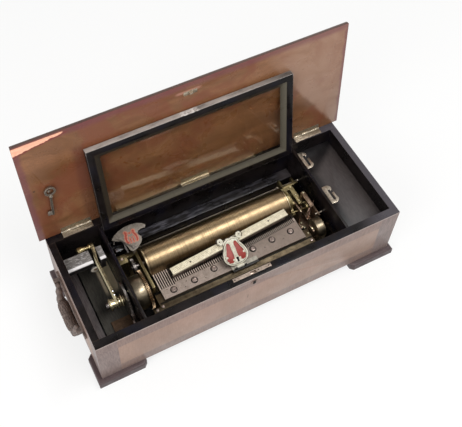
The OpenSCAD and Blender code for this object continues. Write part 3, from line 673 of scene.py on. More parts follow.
def lid_finish():
    """Polished mahogany inside, a wine-red stained margin, a chip of raw wood, veneer outside, and a painted
    reflection paler on the right.
    """
    bench = new_finish("lid mahogany")
    x, y, z = bench.axes()
    up, through = rotated(z - RIM_Z, y - LID_Y, LID_LEAN)
    figure = bench.wood((0.1, 1, 1), 1.6)
    cloud, fibre, pore = figure.cloud, figure.fibre, figure.pore
    hands = bench.hands(0.7)
    cloudy = bench.noise(0.02, 4, 0.65, 0.8)
    slanted = up + x * 1.43 + cloudy * 26
    # a paler area on the right, cut off by a slanted line: painted reflection of the white ground
    painted_reflection = x.span(110, 205) * slanted.span(410, 426) * cloudy.span(0.36, 0.62, 0.55, 0.9)
    ragged = (bench.noise(0.05, vector=bench.stretched((0.5, 1, 1))) - 0.5) * 10
    stain = (x + 290 + ragged).fall(6, 14).most((227.8 - up + ragged).fall(4, 15))
    stain = stain.most((290 - x + ragged).fall(2, 8))
    shade = x.within(-203, -183, 6) * up.within(0, 185, 8)
    patch = x.within(-24, 18, 5) * up.within(209, 214, 1.4)
    dot = x.within(-276.4, -273.2, 0.6) * up.within(120.4, 123.4, 0.6)
    torn = up + (x + 284) * -0.155 + (bench.noise(0.14) - 0.5) * 5
    chip = torn.span(210.4, 211.4) * x.span(-208, -212) * up.fall(224.8, 226.4)
    lip = torn.within(208, 210.8, 0.7) * x.span(-200, -206)
    raw = bench.coats((0.95, 0.52, 0.35), (fibre.mid(), (0.78, 0.36, 0.24)))
    inner = bench.coats(
        (0.14, 0.059, 0.022), (cloud.span(0.28, 0.7), (0.255, 0.114, 0.051)),
        (fibre.span(0.35, 0.72, 0, 0.55), (0.155, 0.066, 0.028)), (pore * 0.45, (0.085, 0.034, 0.015)),
        (bench.noise(0.013, 4, 0.65, 0.6).span(0.46, 0.62, 0, 0.75), (0.17, 0.052, 0.024)),
        (painted_reflection, (0.31, 0.182, 0.122)), (stain * 0.62, (0.135, 0.035, 0.048)),
        (shade * 0.35, (0.07, 0.02, 0.02)), (patch * 0.6, (0.5, 0.25, 0.19)),
        (dot * 0.85, (0.02, 0.008, 0.006)), (lip * 0.7, (0.16, 0.02, 0.02)), (chip, raw),
        (hands.scratch * 0.22, (0.42, 0.25, 0.17)),
    )
    line_off = (abs(x) - 254).most(abs(up - 114) - 78)
    colour = bench.coats(
        (0.1, 0.052, 0.04), (cloud.mid(), (0.21, 0.125, 0.095)),
        (fibre.span(0.35, 0.7, 0, 0.6), (0.07, 0.035, 0.026)),
        (line_off.span(-0.4, 0.4, 0, 0.55), (0.055, 0.03, 0.026)),
        (line_off.within(-2, 0, 0.3) * 0.8, (0.5, 0.34, 0.22)),
        (bench.rub(0.02, 0.15) * 0.4, (0.24, 0.13, 0.09)), (through.fall(0.4, 0.9), inner),
    )
    rough = hands.smudge.mid(0.24, 0.4) + chip * 0.3
    return bench.finished(colour, rough, fibre * 0.5 + pore * -0.4 + chip * -3, 0.1, specular=0.36)


def plain_wood_finish():
    """Bare deal of the bottom, dusty, and dark on its upper face."""
    bench = new_finish("plain deal")
    figure = bench.wood((0.08, 1, 1), 1)
    hands = bench.hands()
    colour = bench.coats(
        (0.21, 0.125, 0.07), (figure.cloud.mid(), (0.36, 0.24, 0.145)),
        (figure.fibre.span(0.4, 0.7, 0, 0.6), (0.15, 0.08, 0.04)),
        (hands.dust * 0.3, (0.07, 0.05, 0.04)), (bench.axes()[2].span(25, 25.6), (0.012, 0.01, 0.01)),
    )
    return bench.finished(colour, hands.smudge.mid(0.5, 0.75), figure.fibre, 0.3)


def floor_boards_finish():
    """Grey-green stained board of the left compartment, with a browner strip beyond the groove, and a pale
    tan patch behind the lever that is partly the board's colour and partly painted light.
    """
    bench = new_finish("compartment floor")
    figure = bench.wood((1, 0.12, 1), 0.5)
    hands = bench.hands(1.2)
    x, y, _ = bench.axes()
    grain = figure.fibre.mid()
    strip = bench.coats((0.085, 0.07, 0.07), (grain, (0.18, 0.148, 0.144)))
    tan = bench.coats((0.66, 0.56, 0.35), (figure.cloud.span(0.35, 0.65), (0.92, 0.76, 0.54)))
    colour = bench.coats(
        (0.072, 0.066, 0.055), (grain, (0.135, 0.124, 0.104)), (x.fall(-247.4, -246.4), strip),
        # pale tan behind the lever, far paler than the board: partly its colour, partly painted light
        (x.span(-219, -215) * y.span(12, 26) * 0.92, tan),
        (x.within(-248.4, -245.4, 0.4) * 0.95, (0.004, 0.004, 0.004)), (hands.dust * 0.3, (0.1, 0.09, 0.08)),
    )
    return bench.finished(colour, hands.smudge.mid(0.4, 0.65), figure.fibre, 0.2)


def cylinder_finish():
    """Lacquered brass gone brown, with rows of fine pin holes round it."""
    bench = new_finish("pinned brass")
    x = bench.axes()[0]
    age = bench.age((0.15, 1, 1), 0.7)
    rings = bench.noise(0.7, 3, 0.8, 0, bench.node("ShaderNodeCombineXYZ", {"X": x}).outputs[0])
    cells = bench.node("ShaderNodeTexVoronoi", {"Vector": bench.stretched((0.9, 0.9, 0.9)), "Scale": 0.9})
    pricked = bench.outputs(cells).distance.fall(0.12, 0.26)
    # bright bands painted round the tube near each end: painted highlight of the end rims
    lip = x.within(132.2, 133.6, 0.2).most(x.within(-142.6, -140.6, 0.3) * 0.35)
    groove = x.within(130.4, 131.4, 0.3).most(x.within(-138.8, -137.6, 0.3))
    colour = bench.coats(
        (0.33, 0.235, 0.135), (age.tarnish.mid(), (0.2, 0.14, 0.08)),
        (rings.span(0.42, 0.62, 0, 0.7), (0.46, 0.34, 0.19)),
        (rings.span(0.5, 0.32, 0, 0.6), (0.11, 0.075, 0.042)), (age.speck * 0.5, (0.1, 0.065, 0.035)),
        (pricked * 0.4, (0.09, 0.06, 0.03)), (lip * 0.8, (0.78, 0.66, 0.45)),
        (groove * 0.8, (0.04, 0.025, 0.015)),
    )
    rough = age.tarnish.mid(0.29, 0.4)
    return bench.finished(colour, rough, pricked * -0.7 + rings * 0.3, 0.12, 1)


def glass_finish():
    """Old glass with a faint ripple, which casts only a thin shadow."""
    bench = new_finish("old glass")
    shadow_ray = bench.outputs(bench.node("ShaderNodeLightPath")).is_shadow_ray
    for name, value in {
        "Base Color": (0.9, 0.89, 0.84), "Transmission Weight": 1, "IOR": 1.5,
        "Roughness": bench.hands(0.4).smudge.span(0.45, 0.8, 0, 0.06),
        "Normal": bench.bump(bench.noise(0.02, 2), 0.03, 0.001), "Alpha": 1 - shadow_ray * 0.8,
    }.items():
        bench.feed(bench.tree.nodes["Principled BSDF"].inputs[name], value)
    return bench.finish


# Zither bar, as the solids have it
BAR_START = (-111.6, -24.1)
BAR_END = (118, -6.5)
BAR_TOP = 103
BAR_TURN = math.atan2(BAR_END[1] - BAR_START[1], BAR_END[0] - BAR_START[0])


def stroked_bar_finish():
    """Cream metal engraved with a row of fine strokes across, and small dark pits."""
    bench = new_finish("stroked cream metal")
    age = bench.age((2.2, 0.4, 0.4), 1.6)
    x, y, _ = bench.axes()
    along, across = rotated(x - BAR_START[0], y - BAR_START[1], BAR_TURN)
    step = ((along + across * 0.35) / 3.1).fract()
    broken = bench.noise(0.5, 2).span(0.44, 0.56)
    stroke = step.within(0.3, 0.55, 0.08) * across.within(-4.6, 4.6, 0.5) * broken
    colour = bench.coats(
        (0.65, 0.57, 0.4), (age.tarnish.span(0.32, 0.68), (0.85, 0.775, 0.58)),
        (stroke * 0.85, (0.2, 0.155, 0.1)), (age.speck * 0.5, (0.22, 0.17, 0.11)),
        (bench.rub(0.03, 0.2) * 0.5, (0.38, 0.31, 0.21)),
    )
    return bench.finished(colour, bench.hands(2).smudge.mid(0.34, 0.5), stroke * -1, 0.2)


# Glass lid, as the solids have it
GLASS_Y, GLASS_Z = 93.6, 126
GLASS_X = (-185.5, 181)
GLASS_H = 184
BEVEL_START = 12


def frame_finish():
    """Black lacquered frame: its inner bevel brown-grey and painted paler along the bottom and right as
    painted light; its edges worn, with a painted highlight toward the top; its top edge dusty and chipped.
    """
    bench = new_finish("glass frame lacquer")
    x, y, z = bench.axes()
    up, through = rotated(z - GLASS_Z, y - GLASS_Y, GLASS_LEAN)
    inward = (x - GLASS_X[0]).least(GLASS_X[1] - x).least(up.least(GLASS_H - up))
    bevel = inward.span(BEVEL_START - 0.4, BEVEL_START + 0.8) * through.fall(-3, -2)
    paint, rough, height = black_paint(bench)
    # the inner bevel painted brown-grey, paler along its bottom and right: painted light
    dull = bench.coats(
        (0.026, 0.02, 0.014), (up.span(26, 14).most(x.span(150, 168)), (0.105, 0.093, 0.07)),
        (height.span(0.2, 0.6, 0, 0.35), (0.05, 0.042, 0.03)),
    )
    cloud = bench.noise(0.1, 4, 0.7, 0, bench.stretched((0.3, 1, 1))).span(0.3, 0.6, 0.45, 1)
    dusty = up.span(GLASS_H - 0.9, GLASS_H - 0.5) * x.span(190, 60, 0.35, 1) * cloud
    chips = bench.noise(0.25, 4, 0.7).span(0.46, 0.54)
    colour = bench.coats(
        # worn edges, made brighter toward the top as a painted highlight
        paint, (bench.rub(0.005, 0.05) * up.span(174, 181, 0.25, 0.9), (0.42, 0.39, 0.37)),
        (dusty, (0.36, 0.32, 0.29)),
        (x.within(-24, 6, 4) * up.span(182.3, 182.9) * chips, (0.62, 0.58, 0.54)), (bevel, dull),
    )
    return bench.finished(colour, rough, height, 0.12, specular=0.12)


# Comb: its front edge, ends, tooth pitch in two groups, and the curve of the tooth roots
COMB_FRONT = -55.5
COMB_X = (-138.7, 133)
LOW_PITCH, HIGH_PITCH = 3.9, 3.3
LOW_X, MID_X, HIGH_X = -136.3, -109.5, -4.2
ROOT_LOW_Y, ROOT_MID_Y, ROOT_CURVE = -35.6, -32.6, 0.00022
SLOT_OIL = 0.4


def comb_base_finish():
    """Olive bed brass, painted black as shade in a line before the comb, over its front part and where it
    shows under the teeth.
    """
    bench = new_finish("comb base brass")
    x, y, _ = bench.axes()
    age = bench.age((0.1, 1, 1), 0.9)
    ragged = y + (age.tarnish - 0.5) * 2
    line = ragged.within(COMB_FRONT - 2.6, COMB_FRONT + 1, 0.4)
    # black painted in a line before the comb and over the front part: painted shade
    painted_front_shade = line.most(ragged.span(COMB_FRONT - 11.4, COMB_FRONT - 12.2)) * x.span(-151, -146)
    # black painted where the base shows between the teeth: painted shade
    painted_shade_under_teeth = y.span(-39, -38)
    colour = bench.coats(
        (0.205, 0.158, 0.1), (age.tarnish.mid(), (0.105, 0.079, 0.05)),
        (age.speck * 0.5, (0.05, 0.038, 0.024)), (painted_front_shade * 0.92, (0.008, 0.007, 0.006)),
        (painted_shade_under_teeth, (0.004, 0.004, 0.004)),
    )
    rough = age.tarnish.mid(0.38, 0.55)
    return bench.finished(colour, rough, age.brush, 0.1, painted_front_shade.most(painted_shade_under_teeth).fall(0, 1), 0.1)


def comb_finish():
    """Comb steel, dark along the teeth and with black oil in the slots between them."""
    bench = new_finish("toothed steel")
    x, y, z = bench.axes()
    age = bench.age((1, 0.15, 1), 0.7)
    past_mid = (x - MID_X).most(0)
    root = past_mid * past_mid * ROOT_CURVE + x.span(MID_X - 1.2, MID_X - 0.8, ROOT_LOW_Y, ROOT_MID_Y)
    inward = y - root

    def slot_dark(start, pitch, width):
        return (((x - (start - SLOT_OIL)) / pitch).fract() * pitch).within(0, width + 2 * SLOT_OIL, 0.12)

    in_low = x.fall(MID_X - 1.5, MID_X - 1.4)
    in_high = x.span(HIGH_X - 0.6, HIGH_X - 0.5)
    slots = in_low * slot_dark(LOW_X, LOW_PITCH, 1.7)
    slots = slots + (1 - (in_low + in_high)) * slot_dark(MID_X, LOW_PITCH, 1.7)
    slots = slots + in_high * slot_dark(HIGH_X, HIGH_PITCH, 1.5)
    slots = slots * inward.span(-0.6, -0.3) * x.within(COMB_X[0] + 1.8, COMB_X[1] - 1.6, 0.2)
    past_low = x.span(MID_X - 2, MID_X - 1)
    # the teeth just past the roots, painted paler: painted light
    roots = inward.within(0.5, 7.5, 1) * past_low
    colour = bench.coats(
        (0.62, 0.51, 0.44), (age.tarnish.mid(), (0.42, 0.34, 0.29)),
        (x.span(-90, 110, 0, 0.75), (0.29, 0.23, 0.19)),
        (age.brush.mid(0, 0.25), (0.17, 0.135, 0.115)), (age.speck * 0.5, (0.1, 0.06, 0.045)),
        # the side faces of the plate painted dark: painted shade
        (z.span(79.7, 79.3, 0, 0.8), (0.05, 0.04, 0.035)), (roots * 0.7, (0.66, 0.54, 0.45)),
        (in_low * inward.span(-0.5, 0.5, 0, 0.6), (0.9, 0.76, 0.66)),
        # near-black over the teeth from about 8 mm past the roots, under the zither bar: painted shade
        (inward.span(6.5, 8.5) * past_low * 0.95, (0.02, 0.015, 0.011)), (slots, (0.003, 0.003, 0.003)),
    )
    rough = age.tarnish.mid(0.42, 0.55)
    return bench.finished(colour, rough, age.brush, 0.06, slots.most(roots).span(0, 1, 0.7, 0.1), 0.1)


def lever_finish():
    """Winding lever gone olive, with painted highlight on its upward faces along one arris and in rings round
    the hub.
    """
    bench = new_finish("lever brass")
    age = bench.age((1, 0.2, 0.2), 1.2)
    x, y, _ = bench.axes()
    upward = bench.apart(bench.node("ShaderNodeTexCoord").outputs["Normal"])[2]
    # upward faces along one arris and rings on the hub painted bright: painted highlight
    bright = upward.span(0.3, 0.6) * (x + (y + 35) * 0.065).span(-212, -212.6)
    bright = bright.most(y.span(-13, -15) * (x / 4.2).fract().within(0.15, 0.55, 0.12))
    colour = bench.coats(
        (0.17, 0.13, 0.07), (age.tarnish.span(0.35, 0.65), (0.05, 0.038, 0.02)),
        (bright, (1, 0.87, 0.56)), (age.speck * 0.3, (0.08, 0.055, 0.025)),
    )
    return bench.finished(colour, bright.span(0, 1, 0.42, 0.24), age.brush, 0.03, 0.85)


def rail_finish():
    """Rear rail: black lacquer with a painted pale blue sheen along its top and a painted highlight at its
    right end.
    """
    bench = new_finish("rail lacquer")
    x, _, z = bench.axes()
    paint, rough, height = black_paint(bench)
    # pale blue streaks along the top: painted sheen
    painted_sheen = bench.noise(0.12, 4, 0.65, 0, bench.stretched((0.25, 1.6, 1))).span(0.44, 0.64)
    top = z.span(64, 65)
    colour = bench.coats(
        paint, (painted_sheen * x.span(40, -110, 0.35, 1) * top, (0.11, 0.105, 0.12)),
        # paler top toward the right end: painted highlight
        (x.span(150, 176) * top * 0.6, (0.1, 0.085, 0.085)),
    )
    return bench.finished(colour, rough, height, 0.12)


def tray_finish():
    """Stained board of the right compartment, grey, with painted shade toward its back and left and along the
    partition, and darker toward the front.
    """
    bench = new_finish("tray board")
    x, y, _ = bench.axes()
    hands = bench.hands()
    fibre = bench.wood((1, 0.12, 1), 0.6).fibre
    # near-black toward the back and left and along the partition: painted shade
    dark = (y - (x - 205) * 0.74).span(28, 46).most(x.span(216, 203))
    colour = bench.coats(
        (0.044, 0.036, 0.035), (fibre.mid(), (0.07, 0.058, 0.056)), (dark * 0.85, (0.002, 0.002, 0.003)),
        (y.span(-60, -95, 0, 0.6), (0.022, 0.016, 0.018)), (hands.dust * 0.2, (0.1, 0.085, 0.08)),
        (hands.scratch * 0.3, (0.12, 0.1, 0.1)),
    )
    return bench.finished(colour, hands.smudge.mid(0.32, 0.5), fibre, 0.12)


def rest_finish():
    """Lever rest: grey top, partly wear and partly painted light, a painted highlight along its front arris,
    black below.
    """
    bench = new_finish("rest wood")
    _, y, z = bench.axes()
    smudge = bench.hands(1.4).smudge
    fibre = bench.wood((0.12, 1, 1), 0.4).fibre
    flecks = bench.noise(0.35, 3, 0.7, 0, bench.stretched((0.4, 1, 1))).span(0.52, 0.6)
    # grey top face: partly wear, partly painted light
    worn = bench.coats(
        (0.095, 0.088, 0.082), (fibre.mid(), (0.2, 0.185, 0.17)),
        (smudge.span(0.5, 0.66, 0, 0.6), (0.05, 0.044, 0.044)), (flecks * 0.7, (0.42, 0.4, 0.39)),
    )
    colour = bench.coats(
        (0.01, 0.008, 0.008), (z.span(122.8, 123.6), worn),
        # white line along the front arris: painted highlight
        (y.span(43.4, 42) * z.span(121, 122.2) * 0.9, (0.86, 0.83, 0.82)),
        (bench.rub(0.01, 0.08) * 0.35, (0.3, 0.27, 0.25)),
    )
    return bench.finished(colour, smudge.mid(0.28, 0.45), fibre, 0.15)


VENEER = veneer_finish()
BLACK_WOOD = black_wood_finish()
PLINTH = plinth_finish()
MAHOGANY = lid_finish()
DEAL = plain_wood_finish()
FLOOR_BOARD = floor_boards_finish()
CYLINDER_BRASS = cylinder_finish()
OLD_GLASS = glass_finish()
LEVER_BRASS = lever_finish()
RAIL_BLACK = rail_finish()
BASE_BRASS = comb_base_finish()
TOOTH_STEEL = comb_finish()
TRAY_BOARD = tray_finish()
REST_WOOD = rest_finish()
BAR_CREAM = stroked_bar_finish()
FRAME_BLACK = frame_finish()
DRUM_BRASS = aged_metal("drum brass", (0.42, 0.345, 0.24), (0.15, 0.12, 0.08), 0.3, (1.5, 0.2, 0.2), 0.7,
                        edge=0.6)
WHEEL_BRASS = aged_metal("wheel brass", (0.36, 0.25, 0.15), (0.11, 0.07, 0.04), 0.3, size=1.5, edge=0.8)
ROSE_BRASS = aged_metal("rose brass", (0.4, 0.285, 0.205), (0.13, 0.09, 0.06), 0.32, size=2.4, edge=0.9)
CASE_BRASS = aged_metal("hinge brass", (0.56, 0.48, 0.365), (0.18, 0.14, 0.1), 0.34, size=3, edge=0.6)
BED_BRASS = aged_metal("bed brass", (0.215, 0.175, 0.115), (0.1, 0.082, 0.055), 0.42, (0.1, 1, 1), 0.8)
POLISHED_BRASS = aged_metal("polished brass", (0.46, 0.36, 0.19), (0.14, 0.105, 0.05), 0.24, (1, 0.2, 0.2),
                            edge=0.7)
OLIVE_BRASS = aged_metal("olive brass", (0.36, 0.29, 0.15), (0.095, 0.072, 0.032), 0.3, size=2.6, edge=0.9)
SCREW_STEEL = aged_metal("screw steel", (0.58, 0.47, 0.42), (0.15, 0.105, 0.085), 0.3, size=3, edge=0.9)
DARK_STEEL = aged_metal("dark steel", (0.3, 0.27, 0.25), (0.1, 0.085, 0.075), 0.3, size=1.5)
KEY_STEEL = aged_metal("key steel", (0.46, 0.42, 0.36), (0.17, 0.12, 0.08), 0.32, size=2)
BRIGHT_STEEL = aged_metal("bright steel", (0.86, 0.88, 0.92), (0.45, 0.47, 0.52), 0.16, size=1.2,
                          dull_share=0.35)
NICKEL = aged_metal("old nickel", (0.6, 0.525, 0.43), (0.25, 0.2, 0.14), 0.3, size=2.2, edge=0.6)
LOCK_METAL = aged_metal("lock metal", (0.62, 0.5, 0.42), (0.22, 0.17, 0.13), 0.36, (0.1, 1, 1), 1.2)
FAN_COPPER = aged_metal("fan copper", (0.62, 0.42, 0.32), (0.26, 0.165, 0.12), 0.34, size=2.4, edge=0.6)
DOT_BRASS = aged_metal("bright pin brass", (0.88, 0.8, 0.56), (0.5, 0.42, 0.25), 0.22, size=2)
IRON = painted("cast handle iron", (0.075, 0.054, 0.046), (0.22, 0.16, 0.136), 0.5, relief=0.6,
               chips=(0.26, 0.19, 0.16))
CREAM = painted("cream metal", (0.6, 0.56, 0.44), (0.8, 0.77, 0.64), 0.38, (2.2, 0.25, 0.25), 0.15,
                (0.4, 0.33, 0.22), 0.5)
# black in front of y -57.8: painted shade under the lyre's foot
BRACKET_CREAM = painted("bracket metal", (0.36, 0.33, 0.27), (0.55, 0.51, 0.42), 0.4, relief=0.15, speck=0.4,
                        dark_before=-57.8)
TUNE_CREAM = painted("tune plate metal", (0.165, 0.14, 0.112), (0.29, 0.25, 0.21), 0.34, relief=0.12,
                     chips=(0.62, 0.56, 0.46), speck=0.4)
RED = painted("red lacquer", (0.25, 0.022, 0.015), (0.38, 0.045, 0.03), 0.35, chips=(0.6, 0.3, 0.2))
# the tissue's brown darkened for the shade it lies in under the bar: partly its colour, partly painted shade
TISSUE = painted("tissue roll", (0.05, 0.032, 0.024), (0.115, 0.075, 0.055), 0.8, (0.2, 2, 2), 0.4)
PATCH_WOOD = painted("bare wood block", (0.13, 0.075, 0.04), (0.24, 0.14, 0.08), 0.6, (0.2, 1.4, 1), 0.3)
KEYHOLE_METAL = painted("keyhole surround", (0.17, 0.11, 0.085), (0.27, 0.185, 0.145), 0.45)
# dark brown for relief lines, and for painted shade round and behind the lyre
DARK_RELIEF_AND_SHADE = painted("dark relief and painted shade", (0.03, 0.022, 0.014), (0.075, 0.055, 0.035), 0.5, relief=0.2)
# black for dark parts, and for painted shade in holes, gaps and round screw heads
BLACK_AND_SHADE = painted("black paint and painted shade", (0.003, 0.003, 0.003), (0.01, 0.008, 0.007), 0.6, relief=0.2,
                     specular=0.12)
PAD_FELT = painted("felt pad", (0.46, 0.42, 0.34), (0.66, 0.6, 0.5), 0.9, relief=0.6)

# CAD nodes that keep their own mesh and take a finish only
for node, finish in {
    "case_left_end": VENEER, "case_right_end": VENEER, "case_bottom": DEAL, "glass_pane": OLD_GLASS,
    "comb": TOOTH_STEEL, "cylinder_tube": CYLINDER_BRASS, "mainspring": DARK_STEEL, "glass_pins": DARK_STEEL,
    "cylinder_arbor": DARK_STEEL, "barrel_wheel": WHEEL_BRASS, "cylinder_wheel": OLIVE_BRASS,
    "governor_wheel": OLIVE_BRASS,
}.items():
    coat(NODES[node], finish)


# Case, lid, fittings and works with their edges broken
def outer_rim(middle):
    """The long outer arrises of the case, and its rim."""
    return middle.z > RIM_Z - 1 or abs(middle.y) > HALF_D - 0.5 or abs(middle.x) > HALF_L - 0.5


def foot_top(middle):
    """The outer top edge and the corners of a bracket foot."""
    return middle.z > 8 and (abs(middle.x) > HALF_L + 2 or abs(middle.y) > HALF_D + 2)


for node, *ease in (
    ("case_front", 0.5, VENEER, 2, outer_rim), ("case_back", 0.5, VENEER, 2, outer_rim),
    ("foot_front_left", 3.2, PLINTH, 4, foot_top), ("foot_front_right", 3.2, PLINTH, 4, foot_top),
    ("foot_rear_left", 3.2, PLINTH, 4, foot_top), ("foot_rear_right", 3.2, PLINTH, 4, foot_top),
    ("left_partition", 0.5, BLACK_WOOD), ("right_partition", 0.5, BLACK_WOOD), ("rear_rail", 1.2, RAIL_BLACK),
    ("glass_frame", 0.7, FRAME_BLACK), ("left_floor", 0.5, FLOOR_BOARD), ("right_board", 0.4, TRAY_BOARD),
    ("lever_rest", 0.8, REST_WOOD), ("lid_panel", 0.4, MAHOGANY), ("lock_plate", 0.25, LOCK_METAL),
    ("escutcheon", 0.2, KEYHOLE_METAL), ("hinge_leaves", 0.25, CASE_BRASS), ("hinge_flaps", 0.25, CASE_BRASS),
    ("lid_catch", 0.25, CASE_BRASS), ("lock_key", 0.6, KEY_STEEL, 3), ("key_nail", 0.2, KEY_STEEL),
    ("bedplate", 0.6, BED_BRASS), ("comb_base", 0.5, BASE_BRASS), ("cylinder_caps", 0.3, CYLINDER_BRASS),
    ("main_bridge", 0.5, OLIVE_BRASS), ("right_bridge", 0.5, OLIVE_BRASS), ("barrel_drum", 0.6, DRUM_BRASS),
    ("barrel_arbor", 0.6, DARK_STEEL), ("ratchet_wheel", 0.2, DARK_STEEL), ("ratchet_pawl", 0.4, SCREW_STEEL),
    ("winding_lever", 0.7, LEVER_BRASS), ("governor_frame", 0.35, ROSE_BRASS), ("fan", 0.12, FAN_COPPER),
    ("governor_drum", 0.6, DRUM_BRASS), ("zither_bracket", 0.3, BRACKET_CREAM),
    ("zither_bar", 0.35, BAR_CREAM), ("zither_roll", 0.4, TISSUE), ("tune_pointer", 0.15, DARK_STEEL),
    ("change_lever", 0.35, NICKEL),
    ("start_lever", 0.35, NICKEL), ("handle_plate_left", 1, IRON), ("handle_plate_right", 1, IRON),
    ("tune_plate", 0.3, TUNE_CREAM),
):
    eased(node, *ease)


# Cuts, screws and sets
def carved(piece, blade):
    """Cuts the blade out of the piece by a solid boolean."""
    cut = piece.modifiers.new("cut", "BOOLEAN")
    cut.object = blade
    cut.solver = "EXACT"
    only(piece)
    bpy.ops.object.modifier_apply(modifier=cut.name)
    bpy.data.objects.remove(blade)


def about(spot, turn):
    """A matrix that turns about a spot given in mm."""
    return Matrix.Translation(mm(*spot)) @ turn @ Matrix.Translation(-mm(*spot))


def head_screw(name, spot, profile, turn, slot, along=UP):
    """A screw standing on a surface, its slot given as half length, width and depth."""
    x, y, z = spot
    half, wide, deep = slot
    top = z + profile[-1][0]
    piece = turned(name, spot, UP, profile, 20)
    blade = block("slot_blade", (x - half, y - wide / 2, top - deep), (x + half, y + wide / 2, top + 1))
    blade.data.transform(about(spot, Matrix.Rotation(math.radians(turn), 4, "Z")))
    carved(piece, blade)
    piece.data.transform(about(spot, Vector(UP).rotation_difference(Vector(along)).to_matrix().to_4x4()))
    face_out(piece)
    smooth(piece, 30)
    return piece


def screw_set(name, node, finish, spots, profile, turns, slot, along=UP):
    """Screws at the spots, joined to one piece."""
    heads = [head_screw(f"{name}_{turn}_{spot[0]}", spot, profile, turn, slot, along)
             for spot, turn in zip(spots, turns)]
    fitted(join(heads, name), node, finish)


def turned_set(spots, profile, sides, along=UP):
    """The same turned form at each of the spots."""
    return [turned(f"turned_{number}", spot, along, profile, sides) for number, spot in enumerate(spots)]


# Comb: slotted screws on black rings of painted shadow, and dots between them
COMB_TOP = 80
COMB_SCREWS = ((-118, -45, 50), (-79, -44.3, 20), (-40, -39.8, 75), (-1, -37.6, 130), (37.7, -35.5, 40),
               (76.4, -34.2, 95), (113.8, -33.8, 60))
COMB_DOTS = ((-98, -49), (-92, -40), (-60, -49), (-20, -46), (20, -44), (58, -42), (96, -41), (-128, -40))
SCREW_HEAD = [(-18, 1.9), (0.2, 1.9), (0.2, 4.4), (1.2, 4.6), (1.8, 4.1), (1.95, 3.4), (1.4, 2.8), (1.3, 1.3)]
screws = []
shadow_rings = []
for number, (x, y, slot_turn) in enumerate(COMB_SCREWS):
    spot = (x, y, COMB_TOP)
    screws.append(head_screw(f"comb_screw_{number}", spot, SCREW_HEAD, slot_turn, (4, 1.3, 1)))
    # a black ring under each head: painted shadow round the screw
    shadow_rings.append(turned(f"comb_washer_{number}", spot, UP, [(0.02, 6.2), (0.18, 6.2), (0.2, 6)], 28))
fitted(join(screws, "comb_screw_set"), "comb_screws", SCREW_STEEL, "comb_screws")
fitted(join(shadow_rings, "comb_screw_seats"), "comb_screws", BLACK_AND_SHADE)
dots = turned_set([(x, y, COMB_TOP) for x, y in COMB_DOTS], [(-0.5, 0.8), (0.18, 0.8), (0.3, 0.5)], 12)
fitted(join(dots, "comb_dots"), "comb", BLACK_AND_SHADE)

# Pins of the cylinder
PIN_H = 0.25
PIN_R = 0.2
PIN_ROOT = 0.3
TRACKS = 84
RINGS_PER_TRACK = 13
TRACK_X = (-134, 126)
random.seed(23)
bpy.ops.object.select_all(action="DESELECT")
bpy.ops.mesh.primitive_cone_add(vertices=4, radius1=PIN_R * MM, radius2=PIN_R * 0.6 * MM,
                                depth=(PIN_H + PIN_ROOT) * MM,
                                location=mm(0, 0, CYLINDER_R + PIN_H / 2 - PIN_ROOT / 2))
first_pin = named("first_pin")
settle(first_pin)
ring_pins = [first_pin]
for number in range(1, RINGS_PER_TRACK):
    angle = math.radians(360 * (number + random.uniform(-0.35, 0.35)) / RINGS_PER_TRACK)
    ring_pins.append(copied(first_pin, Matrix.Rotation(angle, 4, "X"), f"pin_{number}"))
ring = join(ring_pins, "pin_ring")
rings = []
for number in range(TRACKS):
    along_x = TRACK_X[0] + (TRACK_X[1] - TRACK_X[0]) * (number + random.uniform(-0.2, 0.2)) / (TRACKS - 1)
    shift = Matrix.Translation(mm(along_x, CYLINDER_Y, SHAFT_Z))
    spin = Matrix.Rotation(math.radians(random.uniform(0, 360)), 4, "X")
    rings.append(copied(ring, shift @ spin, f"pin_track_{number}"))
bpy.data.objects.remove(ring)
fitted(join(rings, "cylinder_pins"), "cylinder_tube", OLIVE_BRASS)

# Lyre of the zither attachment: pierced frame, red ground, strings, scrolls, relief edge and painted shade
LYRE_PLACE = Matrix.Translation(mm(1, -55.9, 85)) @ Matrix.Rotation(math.radians(LYRE_TILT), 4, "X")
LYRE_HALF = [(10, 3.4), (17, 7), (21.8, 13.5), (22.3, 20), (20.4, 27), (16.6, 34.5), (13.8, 41), (14.2, 44.5)]
LYRE_TOP = [(9, 48), (4.5, 50.4), (0, 49.2), (-4.5, 50.4), (-9, 48)]
LOBE = [(3.3, 17.5), (5, 11), (10, 7.6), (15.8, 9.6), (18.2, 15.6), (16.6, 23), (13.4, 31), (11, 38),
        (8, 42.6), (4.6, 41.5), (3.4, 30)]
BEADS = ((21.2, 22), (21, 16), (18.8, 10.6), (14.4, 6.6), (18.7, 29.5), (15.8, 36.5))
SCALLOPS = ((5.6, 12), (16, 19.5))
SCROLL_X, SCROLL_Y = 18.4, 49.6
SLOT_SHAPE = [(-1.1, 7.2), (-1.5, 11), (-2.2, 13.2), (0, 16.4), (2.4, 13.6), (1.9, 11), (1.5, 7.2)]


def mirrored(points):
    return [(-x, y) for x, y in reversed(points)]


LYRE_OUTLINE = [(0, 2.9)] + LYRE_HALF + LYRE_TOP + mirrored(LYRE_HALF)


def echoed(wide, high, base, foot, *height):
    """The lyre's outline, scaled by two shares from y = base, which comes to foot, at a height if given."""
    return [(x * wide, foot + (y - base) * high, *height) for x, y in LYRE_OUTLINE]


def on_lyre(z):
    """The lyre's place, lifted off its face."""
    return LYRE_PLACE @ Matrix.Translation(mm(0, 0, z))


def lyre_bead(name, spot, profile, sides):
    """A turned form standing on the lyre's face."""
    piece = turned(name, spot, UP, profile, sides)
    piece.data.transform(LYRE_PLACE)
    return piece


